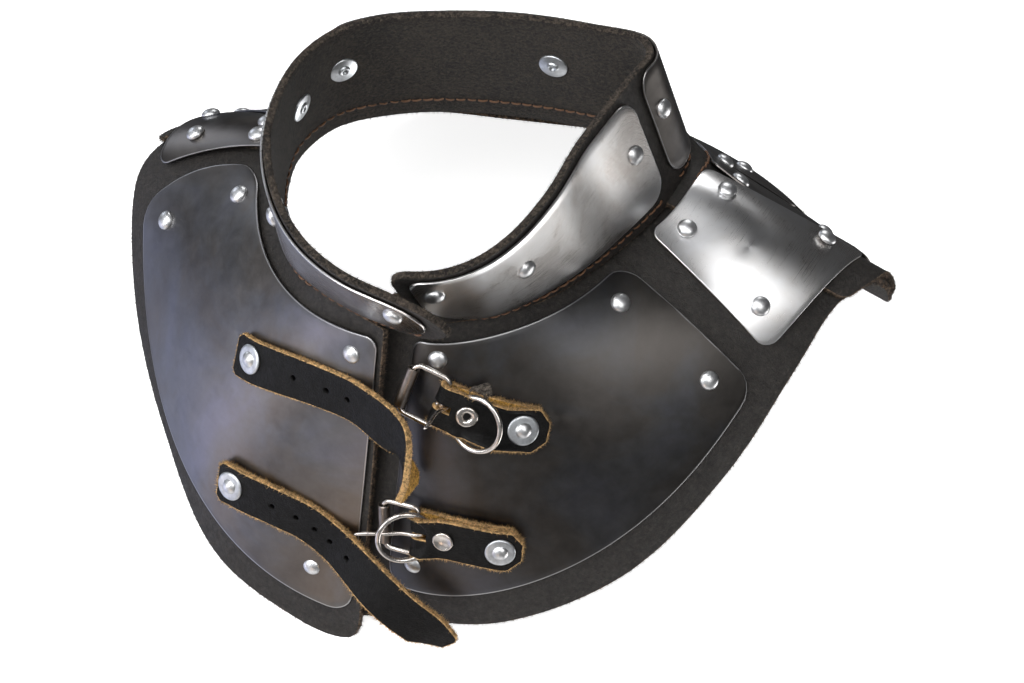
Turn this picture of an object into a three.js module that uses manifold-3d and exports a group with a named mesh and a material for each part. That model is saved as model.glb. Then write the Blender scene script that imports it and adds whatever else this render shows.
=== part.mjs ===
// Leather gorget armoured with riveted steel plates.
// Millimetres, +Z up, -Y is the wearer's front, +X the wearer's left.
import * as THREE from 'three';
import { mergeVertices } from 'three/addons/utils/BufferGeometryUtils.js';
import Module from 'manifold-3d';

const wasm = await Module();
wasm.setup();

// ---- driving dimensions ----------------------------------------------------
const LEATHER = 3.0;        // collar and mantle leather
const STRIP = 2.4;          // shoulder strip leather
const STRAP = 2.6;          // closing strap leather
const STEEL = 1.1;          // plate thickness
const GAP = 0.3;            // clearance kept between neighbouring pieces
const SEAT = 0.9;            // clearance under the mantle plates
const PITCH = 18;           // backward lean at rest, degrees
const FLOOR = -93.2;        // level that it rests on, after the lean
const PLATE_CORNER = 9;     // corner radius of the large plates
const DOME_R = 3.6;         // rivet dome radius
const DOME_H = 2.4;         // rivet dome height
const SHANK_R = 1.3;        // rivet shank radius
const BURR_R = 5.6;         // inside washer radius of the collar rivets
const TAIL_R = 3.6;         // inside head radius of the other rivets
const BURR_T = 0.9;         // inside rivet washer thickness
const WASHER_R = 6.2;       // washer radius of the strap rivets
const STRAP_W = 17.5;       // width of the buckle straps
const WIRE_R = 1.15;        // buckle frame wire radius
const FRAME_W = 22.6;       // buckle frame width, wire centre to wire centre
const FRAME_L = 15.5;       // buckle frame length, bar to roller
const ROLLER_R = 2.5;       // buckle roller outer radius
const RING_R = 11.0;        // keeper ring radius to wire centre
const RING_WIRE = 1.1;      // keeper ring wire radius

// ---- collar: rim and base lines, from the inner end round the back ---------
const RIM = [
  [18, -38, 77], [35, -31, 78], [46, -21, 80], [54, -5, 83], [59, 18, 88],
  [60, 45, 93], [63, 66, 97], [66, 84, 101], [68, 96, 103], [62, 103, 104],
  [40, 102, 104], [10, 98, 103], [-20, 89, 101], [-42, 79, 99], [-55, 67, 97],
  [-62, 48, 94], [-62, 30, 90], [-57, 10, 86], [-47, -8, 82], [-32, -25, 79],
  [-17, -36, 77], [2, -44, 76], [22, -46, 74], [46, -46, 70],
];
const BASE = [
  [22, -20, 40], [34, -9, 38], [44, -1, 36], [56, 15, 36], [67, 36, 37],
  [75, 57, 39], [81, 73, 43], [84, 88, 46], [83, 104, 49], [74, 113, 49],
  [42, 112, 47], [12, 109, 46], [-17, 102, 45], [-42, 92, 43], [-62, 76, 41],
  [-69, 55, 38], [-66, 38, 36], [-59, 22, 34], [-49, 7, 34], [-36, -7, 34],
  [-20, -14, 34], [0, -20, 35], [20, -26, 40], [40, -32, 46],
];

// ---- mantle: stations from the front opening round the back ----------------
// each station: point at the neck seam, halfway out, at the outer edge
const MANTLE = [
  [[15, -18, 32], [12, -32, -35], [11, -46, -104]],
  [[36, -12, 34], [50, -29, -28], [63, -36, -95]],
  [[59, 13, 33], [84, -3, -14], [106, -9, -74]],
  [[70, 35, 34], [105, 24, 5], [134, 26, -38]],
  [[78, 56, 37], [115, 52, 22], [149, 58, -3]],
  [[85, 78, 42], [121, 76, 33], [156, 87, 12]],
  [[88, 97, 46], [122, 97, 37], [166, 108, 12]],
  [[80, 117, 44], [118, 122, 12], [163, 136, -20]],
  [[62, 121, 45], [100, 150, 4], [136, 158, -24]],
  [[36, 118, 44], [56, 160, 10], [80, 200, -29]],
  [[2, 112, 43], [0, 165, 10], [0, 214, -30]],
  [[-30, 103, 43], [-50, 152, 6], [-76, 194, -30]],
  [[-56, 90, 42], [-84, 130, 6], [-116, 150, -30]],
  [[-71, 77, 39], [-102, 104, 12], [-128, 118, -19]],
  [[-75, 64, 38], [-108, 78, 25], [-138, 88, 5]],
  [[-74, 52, 37], [-112, 62, 26], [-145, 72, 7]],
  [[-70, 39, 35], [-112, 46, 20], [-148, 56, 0]],
  [[-61, 19, 32], [-103, 18, 2], [-135, 24, -36]],
  [[-47, 2, 32], [-82, -10, -16], [-103, -14, -69]],
  [[-27, -15, 32], [-46, -34, -30], [-60, -48, -96]],
  [[9, -27, 33], [7, -38, -35], [5, -53, -118]],
];

// ---- curves and sheets ------------------------------------------------------
const vec = (p) => new THREE.Vector3(p[0], p[1], p[2]);

function line(points) {
  return new THREE.CatmullRomCurve3(points.map(vec), false, 'centripetal');
}

// A sheet is a surface through two or three long rows, u along and v across.
class Sheet {
  constructor(rows, side = 1) {
    this.rows = rows.map(line);
    this.span = rows.length > 0 ? rows[0].length - 1 : 1;
    this.side = side;
  }

  point(u, v) {
    const t = u / this.span;
    const p = this.rows.map((row) => row.getPoint(THREE.MathUtils.clamp(t, 0, 1)));
    if (p.length === 2) {
      return p[0].lerp(p[1], v);
    }
    const a = (2 * v - 1) * (v - 1);
    const b = 4 * v * (1 - v);
    const c = v * (2 * v - 1);
    return new THREE.Vector3()
      .addScaledVector(p[0], a)
      .addScaledVector(p[1], b)
      .addScaledVector(p[2], c);
  }

  slopes(u, v) {
    const e = 0.02;
    const lo = Math.max(u - e, 0);
    const hi = Math.min(u + e, this.span);
    const du = this.point(hi, v).sub(this.point(lo, v)).divideScalar(hi - lo);
    const dv = this.point(u, v + e).sub(this.point(u, v - e)).divideScalar(2 * e);
    return [du, dv];
  }

  normal(u, v) {
    const [du, dv] = this.slopes(u, v);
    return du.cross(dv).normalize().multiplyScalar(this.side);
  }

  at(u, v, offset) {
    return this.point(u, v).addScaledVector(this.normal(u, v), offset);
  }
}

// Part of a sheet between four corners, each a [u, v] on that sheet.
class Panel extends Sheet {
  constructor(sheet, corners) {
    super([], sheet.side);
    this.sheet = sheet;
    this.corners = corners;
  }

  spot(s, t) {
    const [a, b, c, d] = this.corners;
    const mix = (k) => (a[k] * (1 - s) + b[k] * s) * (1 - t) + (c[k] * (1 - s) + d[k] * s) * t;
    return [mix(0), mix(1)];
  }

  point(s, t) {
    return this.sheet.point(...this.spot(s, t));
  }

  normal(s, t) {
    return this.sheet.normal(...this.spot(s, t));
  }
}

// Stations from u0 to u1, closer together over the rounded ends.
function stations(u0, u1, r0, r1, count) {
  const list = [];
  const turns = 3;
  for (let k = 0; k < turns; k += 1) {
    list.push(u0 + r0 * (1 - Math.cos((k / turns) * Math.PI / 2)));
  }
  for (let k = 0; k <= count; k += 1) {
    list.push(u0 + r0 + ((u1 - r1) - (u0 + r0)) * (k / count));
  }
  for (let k = turns - 1; k >= 0; k -= 1) {
    list.push(u1 - r1 * (1 - Math.cos((k / turns) * Math.PI / 2)));
  }
  return list.filter((u, i) => i === 0 || u - list[i - 1] > 1e-6);
}

// A plate or hide cut from a sheet: corners [u0v0, u1v0, u0v1, u1v1] in mm.
function patch(sheet, opt) {
  const { u0, u1, count, steps } = opt;
  const low = typeof opt.v0 === 'function' ? opt.v0 : () => opt.v0;
  const high = typeof opt.v1 === 'function' ? opt.v1 : () => opt.v1;
  const [c00, c10, c01, c11] = opt.corners;
  const scale = (u, v) => sheet.slopes(u, v).map((s) => s.length());
  const sizes = [
    [c00, u0, low(u0)], [c10, u1, low(u1)], [c01, u0, high(u0)], [c11, u1, high(u1)],
  ].map(([r, u, v]) => scale(u, v).map((s) => r / s));
  const r0 = Math.max(sizes[0][0], sizes[2][0]);
  const r1 = Math.max(sizes[1][0], sizes[3][0]);
  const us = stations(u0, u1, r0, r1, count);
  const inset = (u, start, end) => {
    let cut = 0;
    for (const [edge, dir, [ru, rv]] of [[u0, 1, start], [u1, -1, end]]) {
      const d = ru > 0 ? 1 - ((u - edge) * dir) / ru : 0;
      if (d > 0) {
        cut += rv * (1 - Math.sqrt(Math.max(1 - d * d, 0)));
      }
    }
    return cut;
  };
  const range = (u) => [
    low(u) + inset(u, sizes[0], sizes[1]),
    high(u) - inset(u, sizes[2], sizes[3]),
  ];
  return slab(sheet, us, range, steps, opt.lo, opt.hi);
}

// Closed solid between two offsets of a sheet.
function slab(sheet, us, range, steps, lo, hi) {
  const offset = (f, u, v) => (typeof f === 'function' ? f(u, v) : f);
  const verts = [];
  const tris = [];
  const n = steps + 1;
  for (const u of us) {
    const [a, b] = range(u);
    for (let j = 0; j < n; j += 1) {
      const v = a + (b - a) * (j / steps);
      verts.push(sheet.at(u, v, offset(hi, u, v)));
      verts.push(sheet.at(u, v, offset(lo, u, v)));
    }
  }
  const id = (i, j, inner) => 2 * (i * n + j) + inner;
  const quad = (a, b, c, d) => {
    tris.push(a, b, c, a, c, d);
  };
  const m = us.length;
  for (let i = 0; i < m - 1; i += 1) {
    for (let j = 0; j < steps; j += 1) {
      quad(id(i, j, 0), id(i + 1, j, 0), id(i + 1, j + 1, 0), id(i, j + 1, 0));
      quad(id(i, j, 1), id(i, j + 1, 1), id(i + 1, j + 1, 1), id(i + 1, j, 1));
    }
    quad(id(i, 0, 0), id(i, 0, 1), id(i + 1, 0, 1), id(i + 1, 0, 0));
    quad(id(i, steps, 0), id(i + 1, steps, 0), id(i + 1, steps, 1), id(i, steps, 1));
  }
  for (let j = 0; j < steps; j += 1) {
    quad(id(0, j, 0), id(0, j + 1, 0), id(0, j + 1, 1), id(0, j, 1));
    quad(id(m - 1, j, 0), id(m - 1, j, 1), id(m - 1, j + 1, 1), id(m - 1, j + 1, 0));
  }
  return facing(verts.map((p) => [p.x, p.y, p.z]), tris);
}

// Geometry with its faces turned outwards.
function facing(verts, tris) {
  let volume = 0;
  for (let i = 0; i < tris.length; i += 3) {
    const [a, b, c] = [0, 1, 2].map((k) => vec(verts[tris[i + k]]));
    volume += a.dot(b.cross(c));
  }
  if (volume < 0) {
    for (let i = 0; i < tris.length; i += 3) {
      [tris[i + 1], tris[i + 2]] = [tris[i + 2], tris[i + 1]];
    }
  }
  const geometry = new THREE.BufferGeometry();
  geometry.setAttribute('position', new THREE.Float32BufferAttribute(verts.flat(), 3));
  geometry.setIndex(tris);
  return geometry;
}

// ---- solids ------------------------------------------------------------------
function solid(geometry) {
  const plain = geometry.clone();
  plain.deleteAttribute('normal');
  plain.deleteAttribute('uv');
  const merged = mergeVertices(plain, 1e-4);
  const index = [];
  const src = merged.index.array;
  for (let i = 0; i < src.length; i += 3) {
    const [a, b, c] = [src[i], src[i + 1], src[i + 2]];
    if (a !== b && b !== c && a !== c) {
      index.push(a, b, c);
    }
  }
  return new wasm.Manifold(new wasm.Mesh({
    numProp: 3,
    vertProperties: new Float32Array(merged.attributes.position.array),
    triVerts: new Uint32Array(index),
  }));
}

function geometryOf(body) {
  const mesh = body.getMesh();
  const geometry = new THREE.BufferGeometry();
  const position = new THREE.BufferAttribute(new Float32Array(mesh.vertProperties), 3);
  geometry.setAttribute('position', position);
  geometry.setIndex(new THREE.BufferAttribute(new Uint32Array(mesh.triVerts), 1));
  return geometry;
}

// Frame at a place on a sheet: z along the outward normal, x along u.
function frameAt(sheet, u, v, offset) {
  const z = sheet.normal(u, v);
  const x = sheet.slopes(u, v)[0];
  x.addScaledVector(z, -x.dot(z)).normalize();
  const y = z.clone().cross(x);
  const m = new THREE.Matrix4().makeBasis(x, y, z);
  m.setPosition(sheet.at(u, v, offset));
  return m;
}

function rod(radius, z0, z1, sides = 10) {
  const g = new THREE.CylinderGeometry(radius, radius, z1 - z0, sides);
  g.rotateX(Math.PI / 2);
  g.translate(0, 0, (z0 + z1) / 2);
  return g;
}

// Rivet turned about z: dome above z = 0, shank down through the grip, tail below.
function rivetGeometry(grip, { washer = 0, tail = TAIL_R, slack = 1, flat = false }) {
  const profile = [];
  const steps = 2;
  const height = flat ? 1.2 : DOME_H;
  for (let k = 0; k <= steps; k += 1) {
    const a = (k / steps) * (Math.PI / 2);
    const rise = flat && k < steps ? 0.9 : Math.cos(a);
    profile.push([DOME_R * Math.sin(a), GAP + washer + 0.3 + (height - 0.3) * rise]);
  }
  profile.push([DOME_R, GAP + washer]);
  if (washer > 0) {
    profile.push([WASHER_R - 0.3, GAP + washer - 0.1]);
    profile.push([WASHER_R, GAP]);
  }
  profile.push([SHANK_R, GAP]);
  profile.push([SHANK_R, -grip - slack]);
  if (tail > 0) {
    profile.push([tail, -grip - slack]);
    profile.push([tail, -grip - slack - BURR_T]);
  }
  profile.push([0, profile[profile.length - 1][1]]);
  profile[0][0] = 0;
  const points = profile.map(([r, z]) => new THREE.Vector2(r, z)).reverse();
  const g = new THREE.LatheGeometry(points, 8);
  g.rotateX(Math.PI / 2);
  return g;
}

// ---- the collection of pieces -------------------------------------------------
const looks = {
  leather: { color: 0x35302b, roughness: 0.8, metalness: 0 },
  strap: { color: 0x17130f, roughness: 0.5, metalness: 0 },
  dark_steel: { color: 0x55565a, roughness: 0.35, metalness: 1 },
  bright_steel: { color: 0xa9acb0, roughness: 0.3, metalness: 1 },
  rivet: { color: 0xd5d8da, roughness: 0.25, metalness: 1 },
  buckle: { color: 0xb5b0a8, roughness: 0.3, metalness: 1 },
};
const pieces = new Map();

function add(name, geometry, look) {
  pieces.set(name, { body: solid(geometry), look });
}

// Set a rivet through the named layers and drill their clearance holes.
function rivet(name, sheet, u, v, top, bottom, layers, shape = {}) {
  const place = frameAt(sheet, u, v, top);
  const geometry = rivetGeometry(top - bottom, shape).applyMatrix4(place);
  const hole = rod(SHANK_R + GAP, bottom - top - 1.5, 1.5, 6).applyMatrix4(place);
  for (const layer of layers) {
    const piece = pieces.get(layer);
    piece.body = piece.body.subtract(solid(hole));
  }
  if (name) {
    pieces.set(name, { body: solid(geometry), look: 'rivet' });
    return;
  }
  const plate = pieces.get(layers[0]);
  const plug = rod(SHANK_R + GAP + 0.3, -STEEL, GAP + 0.5, 6).applyMatrix4(place);
  plate.body = plate.body.add(solid(geometry)).add(solid(plug));
}

// ---- collar --------------------------------------------------------------------
const collar = new Sheet([RIM, BASE], -1);

function collarPieces() {
  add('collar_leather', patch(collar, {
    u0: 0, u1: 23, v0: 0, v1: 1, count: 36, steps: 2,
    corners: [7, 17, 5, 17], lo: -LEATHER / 2, hi: LEATHER / 2,
  }), 'leather');
  const face = LEATHER / 2 + 0.6;
  const skin = { lo: face, hi: face + STEEL, steps: 1 };
  add('collar_plate_left', patch(collar, {
    u0: 0.35, u1: 6.5, v0: 0.05, v1: 0.88, count: 16, corners: [5, 9, 16, 9], ...skin,
  }), 'bright_steel');
  add('collar_plate_back', patch(collar, {
    u0: 6.95, u1: 14.2, v0: 0.02, v1: 0.88, count: 18, corners: [9, 9, 9, 9], ...skin,
  }), 'bright_steel');
  add('collar_plate_right', patch(collar, {
    u0: 14.7, u1: 22.6, v0: 0.07, v1: 0.78, count: 16, corners: [9, 12, 9, 12], ...skin,
  }), 'bright_steel');
  const set = (name, plate, u, v) => {
    const layers = [plate, 'collar_leather'];
    rivet(name, collar, u, v, face + STEEL, -LEATHER / 2, layers, { tail: BURR_R, slack: 1.4 });
  };
  set('rivet_collar_left_front', 'collar_plate_left', 0.75, 0.32);
  set('rivet_collar_left_mid', 'collar_plate_left', 2.94, 0.42);
  set('rivet_collar_left_rear', 'collar_plate_left', 6.03, 0.44);
  set('rivet_collar_back_left', 'collar_plate_back', 7.42, 0.37);
  set('rivet_collar_back_mid', 'collar_plate_back', 10.57, 0.42);
  set('rivet_collar_back_right', 'collar_plate_back', 13.87, 0.4);
  set('rivet_collar_right_rear', 'collar_plate_right', 15.02, 0.47);
  set('rivet_collar_right_mid', 'collar_plate_right', 18.2, 0.46);
  set('rivet_collar_right_front', 'collar_plate_right', 22.0, 0.36);
}

// ---- mantle ---------------------------------------------------------------------
const rowOf = (k) => MANTLE.map((station) => station[k]);
const mantle = new Sheet([rowOf(0), rowOf(1), rowOf(2)], -1);
const FRONT_JOINT = 6.27;   // where the front and back hides meet, under the strips
const REAR_JOINT = 13.75;

function mantleLeather() {
  const hide = { lo: -LEATHER, hi: 0, steps: 5, v0: -0.03 };
  const hole = solid(patch(collar, {
    u0: 0, u1: 23, v0: 0.5, v1: 1.01, count: 36, steps: 1,
    corners: [0, 0, 0, 0], lo: -LEATHER / 2 - GAP - 0.1, hi: LEATHER / 2 + GAP + 0.1,
  }));
  add('flap_leather_left', patch(mantle, {
    u0: 0, u1: FRONT_JOINT, v1: 1.0, count: 14, corners: [1, 1, 8, 3], ...hide,
  }), 'leather');
  add('flap_leather_back', patch(mantle, {
    u0: FRONT_JOINT + 0.06, u1: REAR_JOINT, v1: 1.0, count: 16, corners: [1, 1, 3, 3], ...hide,
  }), 'leather');
  add('flap_leather_right', patch(mantle, {
    u0: REAR_JOINT + 0.06, u1: 20, v1: (u) => 1 + 0.02 * Math.max(u - 18.5, 0),
    count: 14, corners: [1, 1, 3, 18], ...hide,
  }), 'leather');
  for (const side of ['left', 'back', 'right']) {
    const piece = pieces.get(`flap_leather_${side}`);
    piece.body = piece.body.subtract(hole);
  }
}

function mantlePlates() {
  const skin = { u0: 0, u1: 1, v0: 0, v1: 1, lo: SEAT, hi: SEAT + STEEL, steps: 4, count: 10 };
  const plate = (name, corners, radii) => {
    add(name, patch(new Panel(mantle, corners), { corners: radii, ...skin }), 'dark_steel');
  };
  const r = PLATE_CORNER;
  plate('flap_plate_left', [[0.17, 0.03], [3.72, 0.03], [0.07, 0.88], [3.66, 0.86]], [4, r, r, r]);
  plate('flap_plate_right', [[15.6, 0.11], [19.95, 0.02], [16.32, 0.83], [19.93, 0.93]], [r, 5, r, r]);
  plate('flap_plate_back', [[8.45, 0.1], [11.75, 0.1], [8.3, 0.86], [11.8, 0.86]], [r, r, r, r]);
  const top = SEAT + STEEL;
  const set = (name, side, u, v) => {
    const layers = [`flap_plate_${side}`, `flap_leather_${side}`];
    rivet(name, mantle, u, v, top, -LEATHER, layers, name ? {} : { tail: 0 });
  };
  set('rivet_flap_left_neck', 'left', 0.6, 0.08);
  set('rivet_flap_left_shoulder', 'left', 3.16, 0.15);
  set('rivet_flap_left_side', 'left', 3.39, 0.67);
  set('rivet_flap_left_low', 'left', 0.32, 0.79);
  set('rivet_flap_right_neck', 'right', 19.7, 0.1);
  set('rivet_flap_right_shoulder', 'right', 16.35, 0.19);
  set('rivet_flap_right_side', 'right', 16.55, 0.65);
  set('rivet_flap_right_low', 'right', 19.66, 0.83);
  for (const [u, v] of [[8.8, 0.2], [11.4, 0.2], [8.75, 0.76], [11.4, 0.76]]) {
    set('', 'back', u, v);
  }
}

// ---- shoulders --------------------------------------------------------------------
const TUCK = 0.8;           // plate lift beyond the strip
const RIDE = 3.8;           // plate lift over the strip

// One shoulder: strip across the joint, front and rear plates riveted over it.
function shoulder(side, strip, front, rear, lift, frontRivets, rearRivets, hides) {
  const name = `shoulder_strip_${side}`;
  add(name, patch(mantle, {
    u0: strip[0], u1: strip[1], v0: 0.0, v1: 1.0, count: 9, steps: 5,
    corners: [2, 2, 4, 4], lo: SEAT, hi: SEAT + STRIP,
  }), 'leather');
  const plate = (end, corners) => {
    const panel = new Panel(mantle, corners);
    const low = (s, t) => lift(panel.spot(s, t)[0]);
    add(`shoulder_plate_${end}_${side}`, patch(panel, {
      u0: 0, u1: 1, v0: 0, v1: 1, steps: 5, count: 6, corners: [4, 4, 7, 7],
      lo: low, hi: (s, t) => low(s, t) + STEEL,
    }), 'bright_steel');
  };
  plate('front', front);
  plate('rear', rear);
  const spots = ['inner', 'outer', 'ridge_inner', 'ridge_outer'];
  const set = (label, end, [u, v]) => {
    const layers = [`shoulder_plate_${end}_${side}`, hides(u)];
    if (u > strip[0] - 0.2 && u < strip[1] + 0.2) {
      layers.push(name);
    }
    const shape = label ? { slack: 2.2 } : { tail: 0 };
    rivet(label, mantle, u, v, lift(u) + STEEL, -LEATHER, layers, shape);
  };
  frontRivets.forEach((spot, k) => set(`rivet_shoulder_${side}_${spots[k]}`, 'front', spot));
  rearRivets.forEach((spot) => set('', 'rear', spot));
}

const ramp = (u, a, b) => THREE.MathUtils.clamp((u - a) / (b - a), 0, 1);

function shoulders() {
  shoulder(
    'left', [5.1, 7.2],
    [[4.42, 0.03], [6.2, 0.06], [3.98, 0.84], [6.2, 0.9]],
    [[6.36, 0.06], [8.0, 0.08], [6.36, 0.9], [8.0, 0.86]],
    (u) => TUCK + (RIDE - TUCK) * Math.min(ramp(u, 4.0, 4.95), ramp(u, 8.2, 7.3)),
    [[4.8, 0.16], [4.39, 0.68], [5.87, 0.24], [5.95, 0.75]],
    [[6.66, 0.24], [7.6, 0.22], [6.66, 0.76], [7.6, 0.74]],
    (u) => (u < FRONT_JOINT ? 'flap_leather_left' : 'flap_leather_back'),
  );
  shoulder(
    'right', [12.85, 15.0],
    [[13.85, 0.08], [14.95, 0.05], [13.85, 0.86], [15.85, 0.8]],
    [[12.1, 0.08], [13.7, 0.08], [12.1, 0.86], [13.7, 0.88]],
    (u) => TUCK + (RIDE - TUCK) * Math.min(ramp(u, 12.0, 12.75), ramp(u, 15.95, 15.1)),
    [[14.72, 0.18], [15.06, 0.6], [14.12, 0.2], [14.12, 0.74]],
    [[12.4, 0.2], [13.42, 0.2], [12.4, 0.76], [13.42, 0.76]],
    (u) => (u < REAR_JOINT ? 'flap_leather_back' : 'flap_leather_right'),
  );
}

// ---- straps -----------------------------------------------------------------------
const on = (u, v, lift) => ({ p: mantle.at(u, v, lift), n: mantle.normal(u, v) });
const free = (p, n) => ({ p: vec(p), n: vec(n).normalize() });

// Strap through the spots, as a sheet with its outer face along their normals.
function belt(spots, width) {
  const rows = [[], []];
  spots.forEach(({ p, n }, i) => {
    const next = spots[Math.min(i + 1, spots.length - 1)].p;
    const last = spots[Math.max(i - 1, 0)].p;
    const half = n.clone().cross(next.clone().sub(last)).normalize().multiplyScalar(width / 2);
    rows[0].push(p.clone().add(half).toArray());
    rows[1].push(p.clone().sub(half).toArray());
  });
  return new Sheet(rows, -1);
}

function longStraps() {
  const low = 4.0;
  const strap = (name, spots, count, corners) => {
    const sheet = belt(spots, STRAP_W);
    add(name, patch(sheet, {
      u0: 0, u1: sheet.span, v0: 0, v1: 1, count, steps: 2, corners,
      lo: -STRAP / 2, hi: STRAP / 2,
    }), 'strap');
  };
  strap('strap_upper', [
    on(18.52, 0.33, low), on(18.75, 0.3, low), on(19.03, 0.265, low), on(19.44, 0.24, low),
    on(19.85, 0.24, 5), free([21, -43, -1], [-0.5, -0.75, 0.3]),
    free([26, -45, -14], [-0.8, -0.4, 0.1]), free([27, -45, -27], [-0.9, 0.1, 0]),
  ], 20, [3, 3, 3, 3]);
  strap('strap_lower', [
    on(18.88, 0.73, low), on(19.1, 0.7, low), on(19.37, 0.685, low), on(19.6, 0.69, low),
    on(19.82, 0.72, 4.5), free([18, -57, -76], [0.05, -0.9, 0.4]),
    free([29, -58, -83], [0.1, -0.9, 0.35]), free([39, -57, -90], [0.15, -0.9, 0.3]),
    free([44, -55, -99], [0.2, -0.9, 0.25]),
  ], 20, [3, 7, 3, 7]);
  const set = (name, strapName, u, v) => {
    const layers = [strapName, 'flap_plate_right', 'flap_leather_right'];
    rivet(name, mantle, u, v, low + STRAP / 2, -LEATHER, layers, { washer: 0.8, slack: 1.6 });
  };
  set('rivet_strap_upper', 'strap_upper', 18.71, 0.3);
  set('rivet_strap_lower', 'strap_lower', 19.0, 0.71);
}

// ---- buckles ----------------------------------------------------------------------
const FOLD = 5.2;           // thickness of a folded strap

const across = (g) => g.rotateX(Math.PI / 2);

function join(parts, place) {
  const bodies = parts.map((g) => solid(g.applyMatrix4(place)));
  return bodies.reduce((a, b) => a.add(b));
}

function ringGeometry(wire, foot, tilt, way) {
  const g = new THREE.TorusGeometry(RING_R, wire, 6, 22);
  g.translate(RING_R * way, 0, 0);
  g.rotateY(-THREE.MathUtils.degToRad(tilt) * way);
  g.translate(foot, 0, 0);
  return g;
}

function frameParts() {
  const half = FRAME_W / 2;
  const parts = [];
  for (const x of [0, FRAME_L]) {
    parts.push(across(rod(WIRE_R, -half, half, 8)).translate(x, 0, 0));
    for (const y of [-half, half]) {
      parts.push(new THREE.SphereGeometry(WIRE_R, 8, 6).translate(x, y, 0));
    }
  }
  for (const y of [-half, half]) {
    parts.push(rod(WIRE_R, 0, FRAME_L, 8).rotateY(Math.PI / 2).translate(0, y, 0));
  }
  return parts;
}

function rollerGeometry() {
  const inner = WIRE_R + GAP + 0.05;
  const half = FRAME_W / 2 - WIRE_R - 1.2;
  const profile = [[inner, -half], [ROLLER_R, -half], [ROLLER_R, half], [inner, half], [inner, -half]];
  return new THREE.LatheGeometry(profile.map(([r, y]) => new THREE.Vector2(r, y)), 14);
}

function prongParts(length, rise) {
  const turn = -THREE.MathUtils.degToRad(rise);
  const loop = new THREE.TorusGeometry(2.45, 0.85, 6, 12).rotateX(Math.PI / 2);
  const pin = rod(0.85, 2.5, length, 6).rotateY(Math.PI / 2);
  return [loop, pin].map((g) => g.rotateY(turn));
}

// Folded strap with its bar in the fold; spots run from the bar to the far end.
function buckle(level, spots, washerAt, rivetAt, ring, prong) {
  const name = `buckle_strap_${level}`;
  const sheet = belt(spots, STRAP_W);
  const z = spots[0].n.clone();
  const x = spots[0].p.clone().sub(spots[1].p);
  x.addScaledVector(z, -x.dot(z)).normalize();
  const place = new THREE.Matrix4().makeBasis(x, z.clone().cross(x), z).setPosition(spots[0].p);
  const cut = (g) => solid(g.applyMatrix4(place));
  let strap = solid(patch(sheet, {
    u0: 0, u1: sheet.span, v0: 0, v1: 1, count: 8, steps: 2, corners: [0, 5, 0, 5],
    lo: -FOLD / 2, hi: FOLD / 2,
  }));
  strap = strap.add(cut(across(rod(FOLD / 2, -STRAP_W / 2, STRAP_W / 2, 16))));
  strap = strap.subtract(cut(across(rod(WIRE_R + GAP + 0.1, -STRAP_W, STRAP_W, 12))));
  strap = strap.subtract(cut(new THREE.BoxGeometry(9, 3.2, 12).translate(0.2, 0, 0)));
  strap = strap.subtract(cut(ringGeometry(RING_WIRE + GAP + 0.1, ring.foot, ring.tilt, ring.way)));
  pieces.set(name, { body: strap, look: 'strap' });
  const metal = (label, parts) => pieces.set(label, { body: join(parts, place), look: 'buckle' });
  metal(`buckle_frame_${level}`, frameParts());
  metal(`buckle_roller_${level}`, [rollerGeometry().translate(FRAME_L, 0, 0)]);
  metal(`buckle_prong_${level}`, prongParts(prong.length, prong.rise));
  metal(`keeper_ring_${level}`, [ringGeometry(RING_WIRE, ring.foot, ring.tilt, ring.way)]);
  const layers = [name, 'flap_plate_left', 'flap_leather_left'];
  const top = spots[spots.length - 1].lift + FOLD / 2;
  rivet(`rivet_strap_buckle_${level}`, mantle, ...washerAt, top, -LEATHER, layers, { washer: 0.8 });
  rivet(`rivet_fold_${level}`, sheet, ...rivetAt, FOLD / 2, -FOLD / 2, [name], { flat: true, tail: 0, slack: -0.4 });
  return place;
}

const held = (u, v, lift) => ({ ...on(u, v, lift), lift });
const axles = [];

function buckles() {
  axles.push(buckle('upper', [
    held(0.72, 0.205, 7), held(0.95, 0.235, 6.5), held(1.2, 0.28, 5.7), held(1.47, 0.34, 5.1),
    held(1.68, 0.385, 5),
  ], [1.47, 0.34], [1.15, 0.5], { foot: -4.8, tilt: 15, way: -1 }, { length: 22.5, rise: 90 }));
  axles.push(buckle('lower', [
    held(0.43, 0.645, 7), held(0.67, 0.652, 6.5), held(0.9, 0.674, 5.7), held(1.12, 0.71, 5.1),
    held(1.28, 0.735, 5),
  ], [1.12, 0.71], [1.0, 0.5], { foot: -5.8, tilt: 34, way: 1 }, { length: 26, rise: 28 }));
}

// ---- build ------------------------------------------------------------------------
collarPieces();
mantleLeather();
mantlePlates();
shoulders();
longStraps();
buckles();

// It leans back until the front tips and the back hem touch the floor.
const pitch = THREE.MathUtils.degToRad(PITCH);
const REST = new THREE.Matrix4().makeRotationX(-pitch);
for (const name of ['flap_leather_left', 'flap_leather_right', 'flap_leather_back']) {
  const piece = pieces.get(name);
  piece.body = piece.body.trimByPlane([0, -Math.sin(pitch), Math.cos(pitch)], FLOOR);
}

const gorget = new THREE.Group();
gorget.name = 'steel_gorget';
for (const [name, { body, look }] of pieces) {
  const geometry = geometryOf(body).applyMatrix4(REST);
  const mesh = new THREE.Mesh(geometry, new THREE.MeshStandardMaterial(looks[look]));
  mesh.name = name;
  gorget.add(mesh);
}
const box = new THREE.Box3().setFromObject(gorget);
const middle = box.getCenter(new THREE.Vector3());
gorget.position.set(-middle.x, -middle.y, -FLOOR);

export default gorget;
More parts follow.
